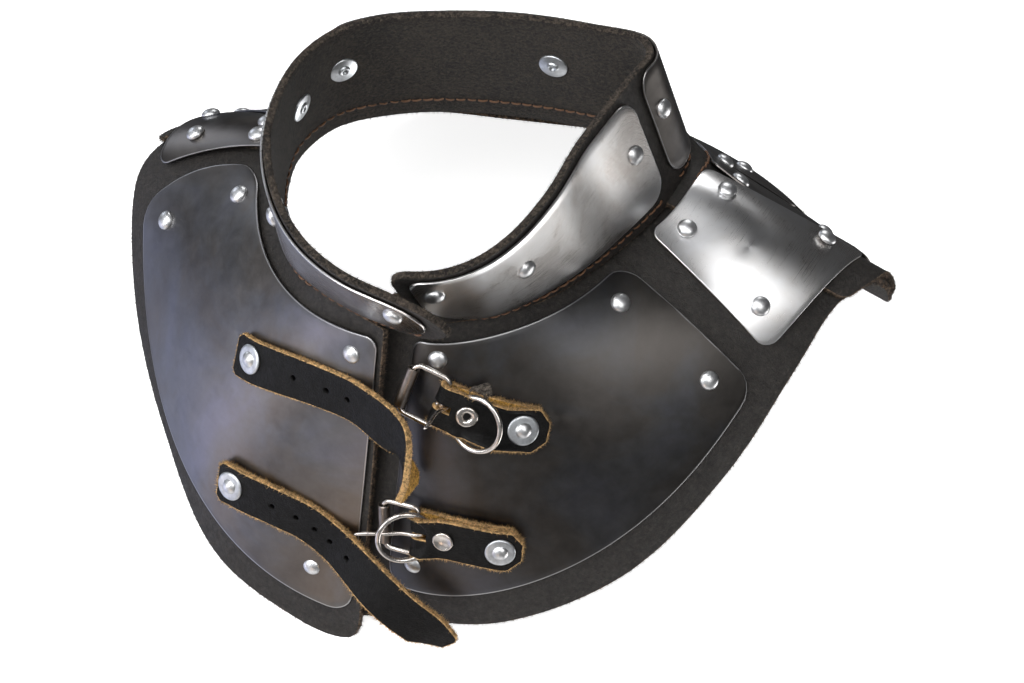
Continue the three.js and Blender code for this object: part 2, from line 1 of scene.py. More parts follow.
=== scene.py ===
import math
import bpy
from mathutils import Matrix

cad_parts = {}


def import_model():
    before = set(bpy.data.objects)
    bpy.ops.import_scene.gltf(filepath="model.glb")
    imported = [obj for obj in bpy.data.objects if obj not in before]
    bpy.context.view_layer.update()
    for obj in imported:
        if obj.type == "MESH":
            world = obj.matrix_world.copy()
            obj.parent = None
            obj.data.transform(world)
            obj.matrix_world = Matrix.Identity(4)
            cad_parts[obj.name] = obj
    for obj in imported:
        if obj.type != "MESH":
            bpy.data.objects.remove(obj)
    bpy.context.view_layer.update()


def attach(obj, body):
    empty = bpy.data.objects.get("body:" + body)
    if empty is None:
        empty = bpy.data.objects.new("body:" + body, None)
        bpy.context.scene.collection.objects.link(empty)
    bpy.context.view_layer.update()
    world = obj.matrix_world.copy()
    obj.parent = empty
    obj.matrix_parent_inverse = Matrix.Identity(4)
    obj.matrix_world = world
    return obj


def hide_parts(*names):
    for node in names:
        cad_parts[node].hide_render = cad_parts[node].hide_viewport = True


bl_info = {
    "name": "Steel gorget",
    "version": (1, 0, 0),
    "blender": (4, 5, 0),
    "location": "3D View > Sidebar > Gorget",
    "description": "Builds the leather, plates, straps, buckles and rivets of a steel gorget",
    "category": "Add Mesh",
}

from functools import partial

import bmesh
import bpy
import numpy as np
from mathutils import Matrix, Vector

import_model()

# ---- measurements, in millimetres --------------------------------------------

MM = 0.001            # metres in a millimetre
METRE = 1000          # millimetres in a metre
LEATHER = 3.0         # thickness of the hides
STEEL = 1.1           # thickness of the plates
SEAT = 0.9            # gap from a flap's surface to the plate or strip on it
COLLAR_SEAT = 2.1     # the same on the collar, from the middle of its leather
STRIP = 2.4           # thickness of the shoulder strips
STRAP = 2.6           # thickness of the long straps
STRAP_W = 17.5        # width of every strap
FOLD = 2.2            # thickness of the folded straps
PROUD = 0.5           # how far the shoulder rivets stand off their plates
NO_EDGE = 99.0        # distance to the edge for pieces that have none
LAY = 0.01            # units of the lay of a piece in a millimetre
FIBRE_SEED = 5
PITCH = math.radians(18)
STAND = np.array([-9.926, -52.722, 93.2])   # where the working frame stands

RIM = [
    (18, -38, 77), (35, -31, 78), (46, -21, 80), (54, -5, 83), (59, 18, 88),
    (60, 45, 93), (63, 66, 97), (66, 84, 101), (68, 96, 103), (62, 103, 104),
    (40, 102, 104), (10, 98, 103), (-20, 89, 101), (-42, 79, 99), (-55, 67, 97),
    (-62, 48, 94), (-62, 30, 90), (-57, 10, 86), (-47, -8, 82), (-32, -25, 79),
    (-17, -36, 77), (2, -44, 76), (22, -46, 74), (46, -46, 70),
]
BASE = [
    (22, -20, 40), (34, -9, 38), (44, -1, 36), (56, 15, 36), (67, 36, 37),
    (75, 57, 39), (81, 73, 43), (84, 88, 46), (83, 104, 49), (74, 113, 49),
    (42, 112, 47), (12, 109, 46), (-17, 102, 45), (-42, 92, 43), (-62, 76, 41),
    (-69, 55, 38), (-66, 38, 36), (-59, 22, 34), (-49, 7, 34), (-36, -7, 34),
    (-20, -14, 34), (0, -20, 35), (20, -26, 40), (40, -32, 46),
]
MANTLE = [
    [(15, -18, 32), (12, -32, -35), (11, -46, -104)],
    [(36, -12, 34), (50, -29, -28), (63, -36, -95)],
    [(59, 13, 33), (84, -3, -14), (106, -9, -74)],
    [(70, 35, 34), (105, 24, 5), (134, 26, -38)],
    [(78, 56, 37), (115, 52, 22), (149, 58, -3)],
    [(85, 78, 42), (121, 76, 33), (156, 87, 12)],
    [(88, 97, 46), (122, 97, 37), (166, 108, 12)],
    [(80, 117, 44), (118, 122, 12), (163, 136, -20)],
    [(62, 121, 45), (100, 150, 4), (136, 158, -24)],
    [(36, 118, 44), (56, 160, 10), (80, 200, -29)],
    [(2, 112, 43), (0, 165, 10), (0, 214, -30)],
    [(-30, 103, 43), (-50, 152, 6), (-76, 194, -30)],
    [(-56, 90, 42), (-84, 130, 6), (-116, 150, -30)],
    [(-71, 77, 39), (-102, 104, 12), (-128, 118, -19)],
    [(-75, 64, 38), (-108, 78, 25), (-138, 88, 5)],
    [(-74, 52, 37), (-112, 62, 26), (-145, 72, 7)],
    [(-70, 39, 35), (-112, 46, 20), (-148, 56, 0)],
    [(-61, 19, 32), (-103, 18, 2), (-135, 24, -36)],
    [(-47, 2, 32), (-82, -10, -16), (-103, -14, -69)],
    [(-27, -15, 32), (-46, -34, -30), (-60, -48, -96)],
    [(9, -27, 33), (7, -38, -35), (5, -53, -118)],
]


# ---- surfaces -----------------------------------------------------------------


class Row:
    """Centripetal spline through points."""

    def __init__(self, points):
        p = np.array(points, float)
        self.last = len(p) - 1
        self.p = np.vstack([2 * p[0] - p[1], p, 2 * p[-1] - p[-2]])

    def at(self, u):
        u = np.clip(np.asarray(u, float), 0, self.last)
        i = np.minimum(u.astype(int), self.last - 1)
        w = (u - i)[..., None]
        p0, p1, p2, p3 = (self.p[i + k] for k in range(4))
        d0, d1, d2 = (np.maximum(np.sqrt(np.linalg.norm(b - a, axis=-1)), 1e-3)[..., None]
                      for a, b in ((p0, p1), (p1, p2), (p2, p3)))
        t1 = ((p1 - p0) / d0 - (p2 - p0) / (d0 + d1) + (p2 - p1) / d1) * d1
        t2 = ((p2 - p1) / d1 - (p3 - p1) / (d1 + d2) + (p3 - p2) / d2) * d1
        c2 = -3 * p1 + 3 * p2 - 2 * t1 - t2
        c3 = 2 * p1 - 2 * p2 + t1 + t2
        return p1 + t1 * w + c2 * w**2 + c3 * w**3


def climb(u, a, b):
    t = np.clip((np.asarray(u, float) - a) / (b - a), 0, 1)
    return t * t * (3 - 2 * t)


def unit(v):
    return v / np.maximum(np.linalg.norm(v, axis=-1, keepdims=True), 1e-9)


class Sheet:
    """Surface through two or three long rows, u along and v across."""

    def __init__(self, rows):
        self.rows = [Row(r) for r in rows]
        self.span = len(rows[0]) - 1

    def point(self, u, v):
        u, v = np.broadcast_arrays(np.asarray(u, float), np.asarray(v, float))
        p = [r.at(u) for r in self.rows]
        v = v[..., None]
        if len(p) == 2:
            return p[0] * (1 - v) + p[1] * v
        return p[0] * (2 * v - 1) * (v - 1) + p[1] * 4 * v * (1 - v) + p[2] * v * (2 * v - 1)

    def slopes(self, u, v):
        e = 0.02
        u = np.asarray(u, float)
        lo, hi = np.maximum(u - e, 0), np.minimum(u + e, self.span)
        du = (self.point(hi, v) - self.point(lo, v)) / (hi - lo)[..., None]
        dv = (self.point(u, v + e) - self.point(u, v - e)) / (2 * e)
        return du, dv

    def normal(self, u, v):
        du, dv = self.slopes(u, v)
        return -unit(np.cross(du, dv))

    def at(self, u, v, lift):
        lift = np.asarray(lift, float)
        return self.point(u, v) + self.normal(u, v) * lift[..., None]


class Panel(Sheet):
    """Part of a sheet between four corners given as (u, v) on it."""

    def __init__(self, sheet, corners):
        self.sheet, self.corners, self.span = sheet, np.array(corners, float), 1

    def spot(self, s, t):
        a, b, c, d = self.corners
        s, t = np.asarray(s, float)[..., None], np.asarray(t, float)[..., None]
        p = (a * (1 - s) + b * s) * (1 - t) + (c * (1 - s) + d * s) * t
        return p[..., 0], p[..., 1]

    def point(self, s, t):
        s, t = np.broadcast_arrays(np.asarray(s, float), np.asarray(t, float))
        return self.sheet.point(*self.spot(s, t))

    def normal(self, s, t):
        s, t = np.broadcast_arrays(np.asarray(s, float), np.asarray(t, float))
        return self.sheet.normal(*self.spot(s, t))


collar = Sheet([RIM, BASE])
mantle = Sheet([[s[k] for s in MANTLE] for k in range(3)])
TUCKED = [tuple(2 * np.array(a) - np.array(b)) for a, b in zip(MANTLE[0], MANTLE[1])]
mantle_tucked = Sheet([[s[k] for s in [TUCKED] + MANTLE] for k in range(3)])   # on under the other flap


def world(points):
    """Working millimetres to metres as the piece stands."""
    p = np.asarray(points, float)
    c, s = math.cos(PITCH), math.sin(PITCH)
    leant = np.stack([p[..., 0], p[..., 1] * c + p[..., 2] * s, -p[..., 1] * s + p[..., 2] * c], -1)
    return (leant + STAND) * MM


def heading(vectors):
    """Working directions as the piece stands."""
    return (world(vectors) - world(np.zeros(3))) * METRE


def lengths(p):
    """Distance along a line of points from its first one."""
    return np.concatenate([[0], np.cumsum(np.linalg.norm(np.diff(p, axis=0), axis=1))])


# ---- meshes -------------------------------------------------------------------


def mesh_object(name, verts, faces, mats=(), index=None, uv=None):
    mesh = bpy.data.meshes.new(name)
    mesh.from_pydata([tuple(v) for v in verts], [], [tuple(f) for f in faces])
    for mat in mats:
        mesh.materials.append(mat)
    if index is not None:
        mesh.polygons.foreach_set("material_index", index)
    if uv is not None:
        layer = mesh.uv_layers.new(name="Lay")
        loops = np.empty(len(mesh.loops), int)
        mesh.loops.foreach_get("vertex_index", loops)
        layer.data.foreach_set("uv", np.asarray(uv)[loops].astype(np.float32).ravel())
    mesh.polygons.foreach_set("use_smooth", [True] * len(mesh.polygons))
    return shown(name, mesh)


def shown(name, data):
    """An object of this data, linked into the scene."""
    obj = bpy.data.objects.new(name, data)
    bpy.context.scene.collection.objects.link(obj)
    return obj


def face_out(obj):
    bm = bmesh.new()
    bm.from_mesh(obj.data)
    bmesh.ops.recalc_face_normals(bm, faces=bm.faces)
    if bm.calc_volume(signed=True) < 0:
        bmesh.ops.reverse_faces(bm, faces=bm.faces)
    bm.to_mesh(obj.data)
    bm.free()
    return obj


def number_attribute(obj, name, values):
    attr = obj.data.attributes.new(name, "FLOAT", "POINT")
    attr.data.foreach_set("value", np.asarray(values, np.float32))


def wall_profile(radius, rows):
    """(outward, depth) pairs from the outer face round the edge to the inner face, for a depth of 1."""
    pairs = []
    for k in range(1, rows + 1):
        a = (k / rows) * math.pi / 2
        pairs.append((radius * math.sin(a), radius * (1 - math.cos(a))))
    middle = max(rows - 1, 1)
    for k in range(1, middle):
        t = k / middle
        pairs.append((radius, radius + (1 - 2 * radius) * t))
    for k in range(rows):
        a = (1 - k / rows) * math.pi / 2
        pairs.append((radius * math.sin(a), 1 - radius * (1 - math.cos(a))))
    return pairs


def shell_grid(name, outer, normal, thick, mats, radius=0.35, rows=2, fuzz=0.0, seed=1):
    """Closed hide or plate from a grid of outer-face points and normals."""
    m, n = outer.shape[:2]
    rng = np.random.default_rng(seed)
    thick = np.broadcast_to(np.asarray(thick, float), (m, n))
    inner = outer - normal * thick[..., None]
    along = np.linalg.norm(np.diff(outer, axis=0), axis=2).mean(1)
    over = np.linalg.norm(np.diff(outer, axis=1), axis=2)
    lay_u = np.concatenate([[0], np.cumsum(along)])[:, None] * np.ones((1, n))
    lay_v = np.concatenate([np.zeros((m, 1)), np.cumsum(over, axis=1)], 1)
    ring = [(i, 0) for i in range(m)] + [(m - 1, j) for j in range(1, n)]
    ring += [(i, n - 1) for i in range(m - 2, -1, -1)] + [(0, j) for j in range(n - 2, 0, -1)]
    ri = np.array([r[0] for r in ring])
    rj = np.array([r[1] for r in ring])
    back_i = np.clip(ri, 1, m - 2)
    back_j = np.clip(rj, 1, n - 2)
    edge, edge_n = outer[ri, rj], normal[ri, rj]
    out = edge - outer[back_i, back_j]
    out -= edge_n * (out * edge_n).sum(1, keepdims=True)
    tangent = np.roll(edge, -1, 0) - np.roll(edge, 1, 0)
    out -= unit(tangent) * (out * unit(tangent)).sum(1, keepdims=True)
    out = unit(out)
    verts = [outer.reshape(-1, 3), inner.reshape(-1, 3)]
    uvs = [np.stack([lay_u, lay_v], -1).reshape(-1, 2)] * 2
    offset = 2 * m * n
    rings = [ri * n + rj]
    base_depth = thick[ri, rj][:, None]
    for o, d in wall_profile(min(radius / thick.mean(), 0.5), rows):
        depth = d * base_depth
        jitter = rng.normal(0, fuzz, (len(ring), 1)) + rng.normal(0, fuzz * 0.5)
        weight = math.sin(math.pi * d)
        place = edge - edge_n * depth + out * (o * thick.mean() + jitter * weight)
        verts.append(place)
        uvs.append(np.stack([lay_u[ri, rj], lay_v[ri, rj]], -1) + 0.4 * d)
        rings.append(np.arange(len(ring)) + offset)
        offset += len(ring)
    rings.append(m * n + ri * n + rj)
    faces, index = [], []
    for i in range(m - 1):
        for j in range(n - 1):
            a, b, c, d = i * n + j, (i + 1) * n + j, (i + 1) * n + j + 1, i * n + j + 1
            faces.append((a, b, c, d))
            index.append(0)
            faces.append((m * n + a, m * n + d, m * n + c, m * n + b))
            index.append(min(1, len(mats) - 1))
    for r0, r1 in zip(rings[:-1], rings[1:]):
        for k in range(len(ring)):
            k2 = (k + 1) % len(ring)
            faces.append((r0[k], r1[k], r1[k2], r0[k2]))
            index.append(min(2, len(mats) - 1))
    verts = np.concatenate(verts)
    obj = mesh_object(name, world(verts), faces, mats, index, np.concatenate(uvs) * LAY)
    near = np.full(len(verts), NO_EDGE)
    for spot in edge:
        near = np.minimum(near, np.linalg.norm(verts - spot, axis=1))
    number_attribute(obj, "edge_mm", near)
    return face_out(obj)


def stations(u0, u1, r0, r1, count, turns=7):
    """Steps from u0 to u1, closer together over the corners r0 and r1."""
    ease = [1 - math.cos(k / turns * math.pi / 2) for k in range(turns)]
    lead = [u0 + r0 * e for e in ease] if r0 > 0 else []
    tail = [u1 - r1 * e for e in reversed(ease)] if r1 > 0 else []
    return np.array(lead + list(np.linspace(u0 + r0, u1 - r1, count + 1)) + tail)


def patch_grid(sheet, u0, u1, v0, v1, count, steps, corners, chamfer=False):
    """Grid of (u, v) with rounded or clipped corners of the given sizes in mm."""
    low = v0 if callable(v0) else (lambda u: v0)
    high = v1 if callable(v1) else (lambda u: v1)
    sizes = []
    for r, u, v in zip(corners, (u0, u1, u0, u1), (low(u0), low(u1), high(u0), high(u1))):
        du, dv = sheet.slopes(u, v)
        sizes.append((r / np.linalg.norm(du), r / np.linalg.norm(dv)))
    r0, r1 = max(sizes[0][0], sizes[2][0]), max(sizes[1][0], sizes[3][0])
    us = stations(u0, u1, r0, r1, count)

    def inset(u, start, end):
        cut = 0.0
        for edge, way, (ru, rv) in ((u0, 1, start), (u1, -1, end)):
            d = 1 - (u - edge) * way / ru if ru > 0 else 0
            if d > 0:
                cut += rv * (d if chamfer else 1 - math.sqrt(max(1 - d * d, 0)))
        return cut

    grid_u, grid_v = [], []
    for u in us:
        a, b = low(u) + inset(u, sizes[0], sizes[1]), high(u) - inset(u, sizes[2], sizes[3])
        grid_u.append(np.full(steps + 1, u))
        grid_v.append(np.linspace(a, b, steps + 1))
    return np.array(grid_u), np.array(grid_v)


def shell(name, sheet, grid, lo, hi, mats, **kw):
    """Closed hide between two heights over a sheet."""
    u, v = grid
    top, low = (np.broadcast_to(np.asarray(x, float), u.shape) for x in (hi, lo))
    return shell_grid(name, sheet.at(u, v, top), sheet.normal(u, v), top - low, mats, **kw)


def axes_at(place, z, along):
    """4x4 matrix in working millimetres at a place: z as given, x as near to along as it can be."""
    x = unit(along - z * (along @ z))
    m = np.eye(4)
    m[:3, 0], m[:3, 1], m[:3, 2], m[:3, 3] = x, np.cross(z, x), z, place
    return m


def frame_at(sheet, u, v, lift):
    """Axes on a sheet: z outward, x along u."""
    u, v = np.float64(u), np.float64(v)
    return axes_at(sheet.at(u, v, lift), sheet.normal(u, v), sheet.slopes(u, v)[0])


def placed(points, matrix):
    p = np.asarray(points, float)
    return p @ matrix[:3, :3].T + matrix[:3, 3]


def tube(points, radius, sides=12, closed=False, taper=None):
    """Vertices and faces of a round wire along points, in working millimetres."""
    p = np.asarray(points, float)
    count = len(p)
    if closed:
        t = unit(np.roll(p, -1, 0) - np.roll(p, 1, 0))
    else:
        t = unit(np.gradient(p, axis=0))
    ref = np.array([0.0, 0, 1]) if abs(t[0][2]) < 0.9 else np.array([1.0, 0, 0])
    a = unit(np.cross(t[0], ref))
    frames = []
    for k in range(count):
        a = unit(a - t[k] * (a @ t[k]))
        frames.append((a, np.cross(t[k], a)))
    if closed:
        end = frames[-1][0] - t[0] * (frames[-1][0] @ t[0])
        turn = math.atan2(unit(end) @ frames[0][1], unit(end) @ frames[0][0])
    verts, faces = [], []
    for k, (a, b) in enumerate(frames):
        twist = -turn * k / count if closed else 0
        r = radius * (taper[k] if taper is not None else 1)
        for s in range(sides):
            w = 2 * math.pi * s / sides + twist
            verts.append(p[k] + r * (a * math.cos(w) + b * math.sin(w)))
    rings = count if closed else count - 1
    for k in range(rings):
        for s in range(sides):
            k2, s2 = (k + 1) % count, (s + 1) % sides
            faces.append((k * sides + s, k2 * sides + s, k2 * sides + s2, k * sides + s2))
    if not closed:
        faces.append(tuple(range(sides - 1, -1, -1)))
        faces.append(tuple((count - 1) * sides + s for s in range(sides)))
    return np.array(verts), faces


def turned(profile, sides=40):
    """Vertices and faces turned about z from (radius, height) pairs."""
    verts, faces, rows = [], [], []
    for r, z in profile:
        if r < 1e-6:
            rows.append([len(verts)])
            verts.append((0, 0, z))
        else:
            rows.append(list(range(len(verts), len(verts) + sides)))
            around = [2 * math.pi * s / sides for s in range(sides)]
            verts += [(r * math.cos(a), r * math.sin(a), z) for a in around]
    for a, b in zip(rows[:-1], rows[1:]):
        for s in range(sides):
            s2 = (s + 1) % sides
            if len(a) == 1:
                faces.append((a[0], b[s], b[s2]))
            elif len(b) == 1:
                faces.append((a[s], b[0], a[s2]))
            else:
                faces.append((a[s], b[s], b[s2], a[s2]))
    return np.array(verts, float), faces


def solid_object(name, parts, matrix, mats):
    """One object from several (verts, faces, material) parts in a local millimetre frame."""
    verts, faces, index, base = [], [], [], 0
    for v, f, mat in parts:
        verts.append(v)
        faces += [tuple(i + base for i in face) for face in f]
        index += [mat] * len(f)
        base += len(v)
    local = np.concatenate(verts)
    obj = mesh_object(name, world(placed(local, matrix)), faces, mats, index, local[:, :2] * LAY)
    return face_out(obj)


def sharpen(obj, degrees=35):
    obj.data.set_sharp_from_angle(angle=math.radians(degrees))
    return obj


def cut_away(obj, cutter):
    """Subtract a cutter object and remove it."""
    mod = obj.modifiers.new("cut", "BOOLEAN")
    mod.operation, mod.object, mod.solver = "DIFFERENCE", cutter, "EXACT"
    settle(obj)
    bpy.data.objects.remove(cutter)
    return obj


def settle(obj):
    """Turn the evaluated object into a plain mesh and drop its modifiers."""
    graph = bpy.context.evaluated_depsgraph_get()
    mesh = bpy.data.meshes.new_from_object(obj.evaluated_get(graph))
    obj.modifiers.clear()
    old = obj.data
    obj.data = mesh
    mesh.name = obj.name
    bpy.data.meshes.remove(old)
    return obj


def finish(obj, nodes, body="root"):
    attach(obj, body)
    if nodes:
        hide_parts(*nodes)
    return obj


# ---- node trees -----------------------------------------------------------------


class Tree:
    """Shorthand for building a shader or geometry tree."""

    def __init__(self, tree):
        self.tree = tree

    def node(self, kind, values=None, **props):
        node = self.tree.nodes.new(kind)
        for key, value in props.items():
            setattr(node, key, value)
        for key, value in (values or {}).items():
            if isinstance(value, bpy.types.NodeSocket):
                self.tree.links.new(value, node.inputs[key])
            else:
                node.inputs[key].default_value = value
        return node

    def out(self, kind, values=None, socket=0, **props):
        """One output of a new node."""
        return self.node(kind, values, **props).outputs[socket]

    def link(self, a, b):
        self.tree.links.new(a, b)

    def math(self, op, a, b=0.0):
        return self.out("ShaderNodeMath", {0: a, 1: b}, operation=op)

    def ramp(self, fac, stops):
        node = self.node("ShaderNodeValToRGB", {0: fac})
        marks = node.color_ramp.elements
        while len(marks) < len(stops):
            marks.new(0.5)
        for mark, (place, colour) in zip(marks, stops):
            mark.position = place
            mark.color = (*colour, 1) if len(colour) == 3 else colour
        return node.outputs[0]

    def grey(self, fac, lo, hi, a=0.0, b=1.0):
        """Map fac from [lo, hi] to [a, b]."""
        return self.out("ShaderNodeMapRange", {0: fac, 1: lo, 2: hi, 3: a, 4: b})

    def mix(self, fac, a, b, blend="MIX"):
        node = self.node("ShaderNodeMix", data_type="RGBA", blend_type=blend)
        for key, value in ((0, fac), (6, a), (7, b)):
            if isinstance(value, bpy.types.NodeSocket):
                self.link(value, node.inputs[key])
            else:
                node.inputs[key].default_value = value if key == 0 else (*value, 1)
        return node.outputs[2]

    def noise(self, coord, scale, detail=4.0, rough=0.5, distort=0.0):
        return self.out("ShaderNodeTexNoise", {"Vector": coord, "Scale": scale, "Detail": detail,
                                               "Roughness": rough, "Distortion": distort})

    def stretch(self, coord, scale, turn=(0, 0, 0)):
        return self.out("ShaderNodeMapping", {"Vector": coord, "Scale": scale, "Rotation": turn})

    def bump(self, height, distance, strength=1.0, normal=None):
        """Surface relief; distance is in millimetres."""
        values = {"Height": height, "Distance": distance * MM, "Strength": strength}
        if normal is not None:
            values["Normal"] = normal
        return self.out("ShaderNodeBump", values)

    def random(self, low, high, seed):
        return self.out("FunctionNodeRandomValue", {2: low, 3: high, "Seed": seed}, 1, data_type="FLOAT")

    def random_vector(self, low, high, seed):
        low, high = (self.out("ShaderNodeCombineXYZ", dict(enumerate(v))) for v in (low, high))
        return self.out("FunctionNodeRandomValue", {0: low, 1: high, "Seed": seed}, data_type="FLOAT_VECTOR")

    def stored(self, name):
        """A vector stored on the points."""
        return self.out("GeometryNodeInputNamedAttribute", {"Name": name}, data_type="FLOAT_VECTOR")


def material(name, build, **sockets):
    """A Principled material; build(tree, shader) adds its pattern, sockets set plain numbers."""
    mat = bpy.data.materials.get(name)
    if mat:
        return mat
    mat = bpy.data.materials.new(name)
    mat.use_nodes = True
    tree = Tree(mat.node_tree)
    shader = mat.node_tree.nodes["Principled BSDF"]
    for key, value in sockets.items():
        shader.inputs[key.replace("_", " ")].default_value = value
    build(tree, shader)
    return mat


def coords(t):
    """Object coordinates and the lay of the piece in millimetres, and the distance to its edge."""
    where = t.node("ShaderNodeTexCoord")
    place = t.stretch(where.outputs["Object"], (METRE, METRE, METRE))
    lay = t.stretch(where.outputs["UV"], (1 / LAY, 1 / LAY, 1 / LAY))
    edge = t.out("ShaderNodeAttribute", socket="Fac", attribute_name="edge_mm")
    return place, lay, edge


def dress(t, shader, colour, relief, rough=None):
    """Join a pattern to the shader."""
    for key, socket in (("Base Color", colour), ("Normal", relief), ("Roughness", rough)):
        if socket:
            t.link(socket, shader.inputs[key])


def burnished(depth, dull, t, shader):
    """Dark burnished steel: cloudy heat tints, edges lighter as rubbed wear and as a painted edge highlight, fine
    long scratches; depth scales the whole tint, and a low depth makes a darker copy that is painted shade.
    """
    place, lay, edge = coords(t)
    clouds = t.noise(place, 0.018, 5, 0.6, 0.6)
    fine = t.noise(place, 0.11, 5, 0.62, 0.3)
    tint = t.ramp(t.grey(clouds, 0.3, 0.7), [
        (0.0, (0.155, 0.143, 0.134)), (0.35, (0.175, 0.162, 0.152)),
        (0.62, (0.185, 0.183, 0.188)), (1.0, (0.2, 0.203, 0.235)),
    ])
    # depth scales the whole tint: 1.1 is the plain burnished tone, the low depth of the left flap plate's copy
    # darkens it as painted shade
    spots = t.grey(fine, 0.35, 0.75, 0.86 * depth, 1.1 * depth)
    spots = t.out("ShaderNodeCombineColor", {0: spots, 1: spots, 2: spots})
    tint = t.mix(1.0, tint, spots, "MULTIPLY")
    # lighter within 0.45 mm of the edge: partly rubbed wear, partly a painted highlight along the edge
    tint = t.mix(t.grey(edge, 0.0, 0.45, 0.9, 0.0), tint, (0.62, 0.62, 0.63))
    grain = t.noise(t.stretch(lay, (0.07, 5.5, 1)), 1.0, 6, 0.65)
    scratch = t.noise(t.stretch(lay, (0.03, 2.2, 1), (0, 0, 0.5)), 1.0, 3, 0.6)
    rough = t.grey(fine, 0.3, 0.7, dull - 0.04, dull + 0.05)
    rough = t.math("ADD", rough, t.grey(grain, 0.3, 0.7, -0.03, 0.05))
    low = t.bump(grain, 0.012, 0.5)
    dents = t.bump(t.noise(place, 0.022, 1, 0.4), 0.6, 0.25, low)
    dress(t, shader, tint, t.bump(t.grey(scratch, 0.62, 0.7), 0.01, 0.3, dents), rough)


def brushed(t, shader):
    """Bright brushed steel: fine grain along the plate, grey smudges, white edges; the tints are set high so that
    they carry part of the plates' brightness in place of lamp light: painted light.
    """
    place, lay, edge = coords(t)
    clouds = t.noise(place, 0.03, 5, 0.6, 0.5)
    # tints set above plain steel so the plates read bright: partly the steel's tone, partly painted light
    tint = t.ramp(t.grey(clouds, 0.3, 0.7), [
        (0.0, (0.6, 0.56, 0.53)), (0.45, (0.72, 0.71, 0.7)), (1.0, (0.8, 0.81, 0.83)),
    ])
    tint = t.mix(t.grey(edge, 0.0, 0.5, 0.95, 0.0), tint, (0.8, 0.8, 0.81))
    grain = t.noise(t.stretch(lay, (0.05, 7.0, 1)), 1.0, 6, 0.7)
    rough = t.grey(clouds, 0.3, 0.7, 0.25, 0.33)
    rough = t.math("ADD", rough, t.grey(grain, 0.3, 0.7, -0.04, 0.06))
    low = t.bump(grain, 0.012, 0.6)
    dress(t, shader, tint, t.bump(t.noise(place, 0.025, 1, 0.4), 0.5, 0.25, low), rough)


def bright_metal(base, lo, hi, t, shader):
    """Small bright fittings with grey mottling."""
    place = coords(t)[0]
    mottle = t.grey(t.noise(place, 0.35, 4, 0.6), 0.35, 0.65)
    tint = t.mix(mottle, base, scaled(base, 0.72))
    rough = t.grey(t.noise(place, 0.9, 4, 0.7), 0.3, 0.7, lo, hi)
    dress(t, shader, tint, t.bump(t.noise(place, 1.1, 4, 0.6), 0.03, 0.5), rough)


def scaled(colour, k):
    return tuple(v * k for v in colour)


def hide_face(dark, light, rough, grain_size, relief, t, shader):
    """Smooth side of leather: pores, creases and worn light flecks near the edge."""
    place, _, edge = coords(t)
    clouds = t.noise(place, 0.05, 6, 0.7, 0.8)
    fine = t.noise(place, 0.55, 6, 0.8)
    tone = t.mix(t.grey(clouds, 0.32, 0.68), dark, light)
    tone = t.mix(t.grey(fine, 0.4, 0.55, 0.85, 0.0), tone, scaled(dark, 0.3))
    fleck = t.math("MULTIPLY", t.grey(fine, 0.56, 0.66), t.grey(edge, 0.3, 4.0, 0.9, 0.22))
    tone = t.mix(fleck, tone, tuple(min(1, c * 3.2) for c in light))
    sheen = t.grey(t.noise(place, 0.2, 4, 0.6), 0.3, 0.7, rough - 0.08, rough + 0.1)
    pores = t.out("ShaderNodeTexVoronoi", {"Vector": place, "Scale": grain_size}, feature="DISTANCE_TO_EDGE")
    low = t.bump(t.grey(pores, 0.0, 0.12), 0.12, 0.6)
    creases = t.noise(t.stretch(place, (1, 1, 0.5)), 0.2, 6, 0.7, 0.3)
    dress(t, shader, tone, t.bump(creases, 1.6 * relief, 0.6, low), sheen)


def suede(dark, light, nap, t, shader):
    """Flesh side or cut edge: short nap with lighter fibres."""
    place = coords(t)[0]
    patches = t.noise(place, 0.07, 5, 0.6, 0.3)
    fibres = t.noise(t.stretch(place, (1.0, 1.0, 1.2)), 0.72, 6, 0.8, 0.4)
    middle = tuple((a + b) / 2 for a, b in zip(dark, light))
    tone = t.mix(t.grey(patches, 0.35, 0.65), dark, middle)
    tone = t.mix(t.grey(fibres, 0.4, 0.53, 0.9, 0.0), tone, scaled(dark, 0.2))
    tone = t.mix(t.grey(fibres, 0.5, 0.64), tone, light)
    low = t.bump(fibres, 0.6 * nap, 0.9)
    dress(t, shader, tone, t.bump(t.noise(place, 0.5, 4, 0.6), 0.6 * nap, 0.35, low))


def thread(t, shader):
    """Waxed brown thread with its twist."""
    twist = t.out("ShaderNodeTexWave", {"Vector": coords(t)[0], "Scale": 0.9, "Distortion": 1.5}, 1)
    dress(t, shader, t.mix(twist, (0.08, 0.035, 0.016), (0.22, 0.11, 0.055)), t.bump(twist, 0.08, 0.6))


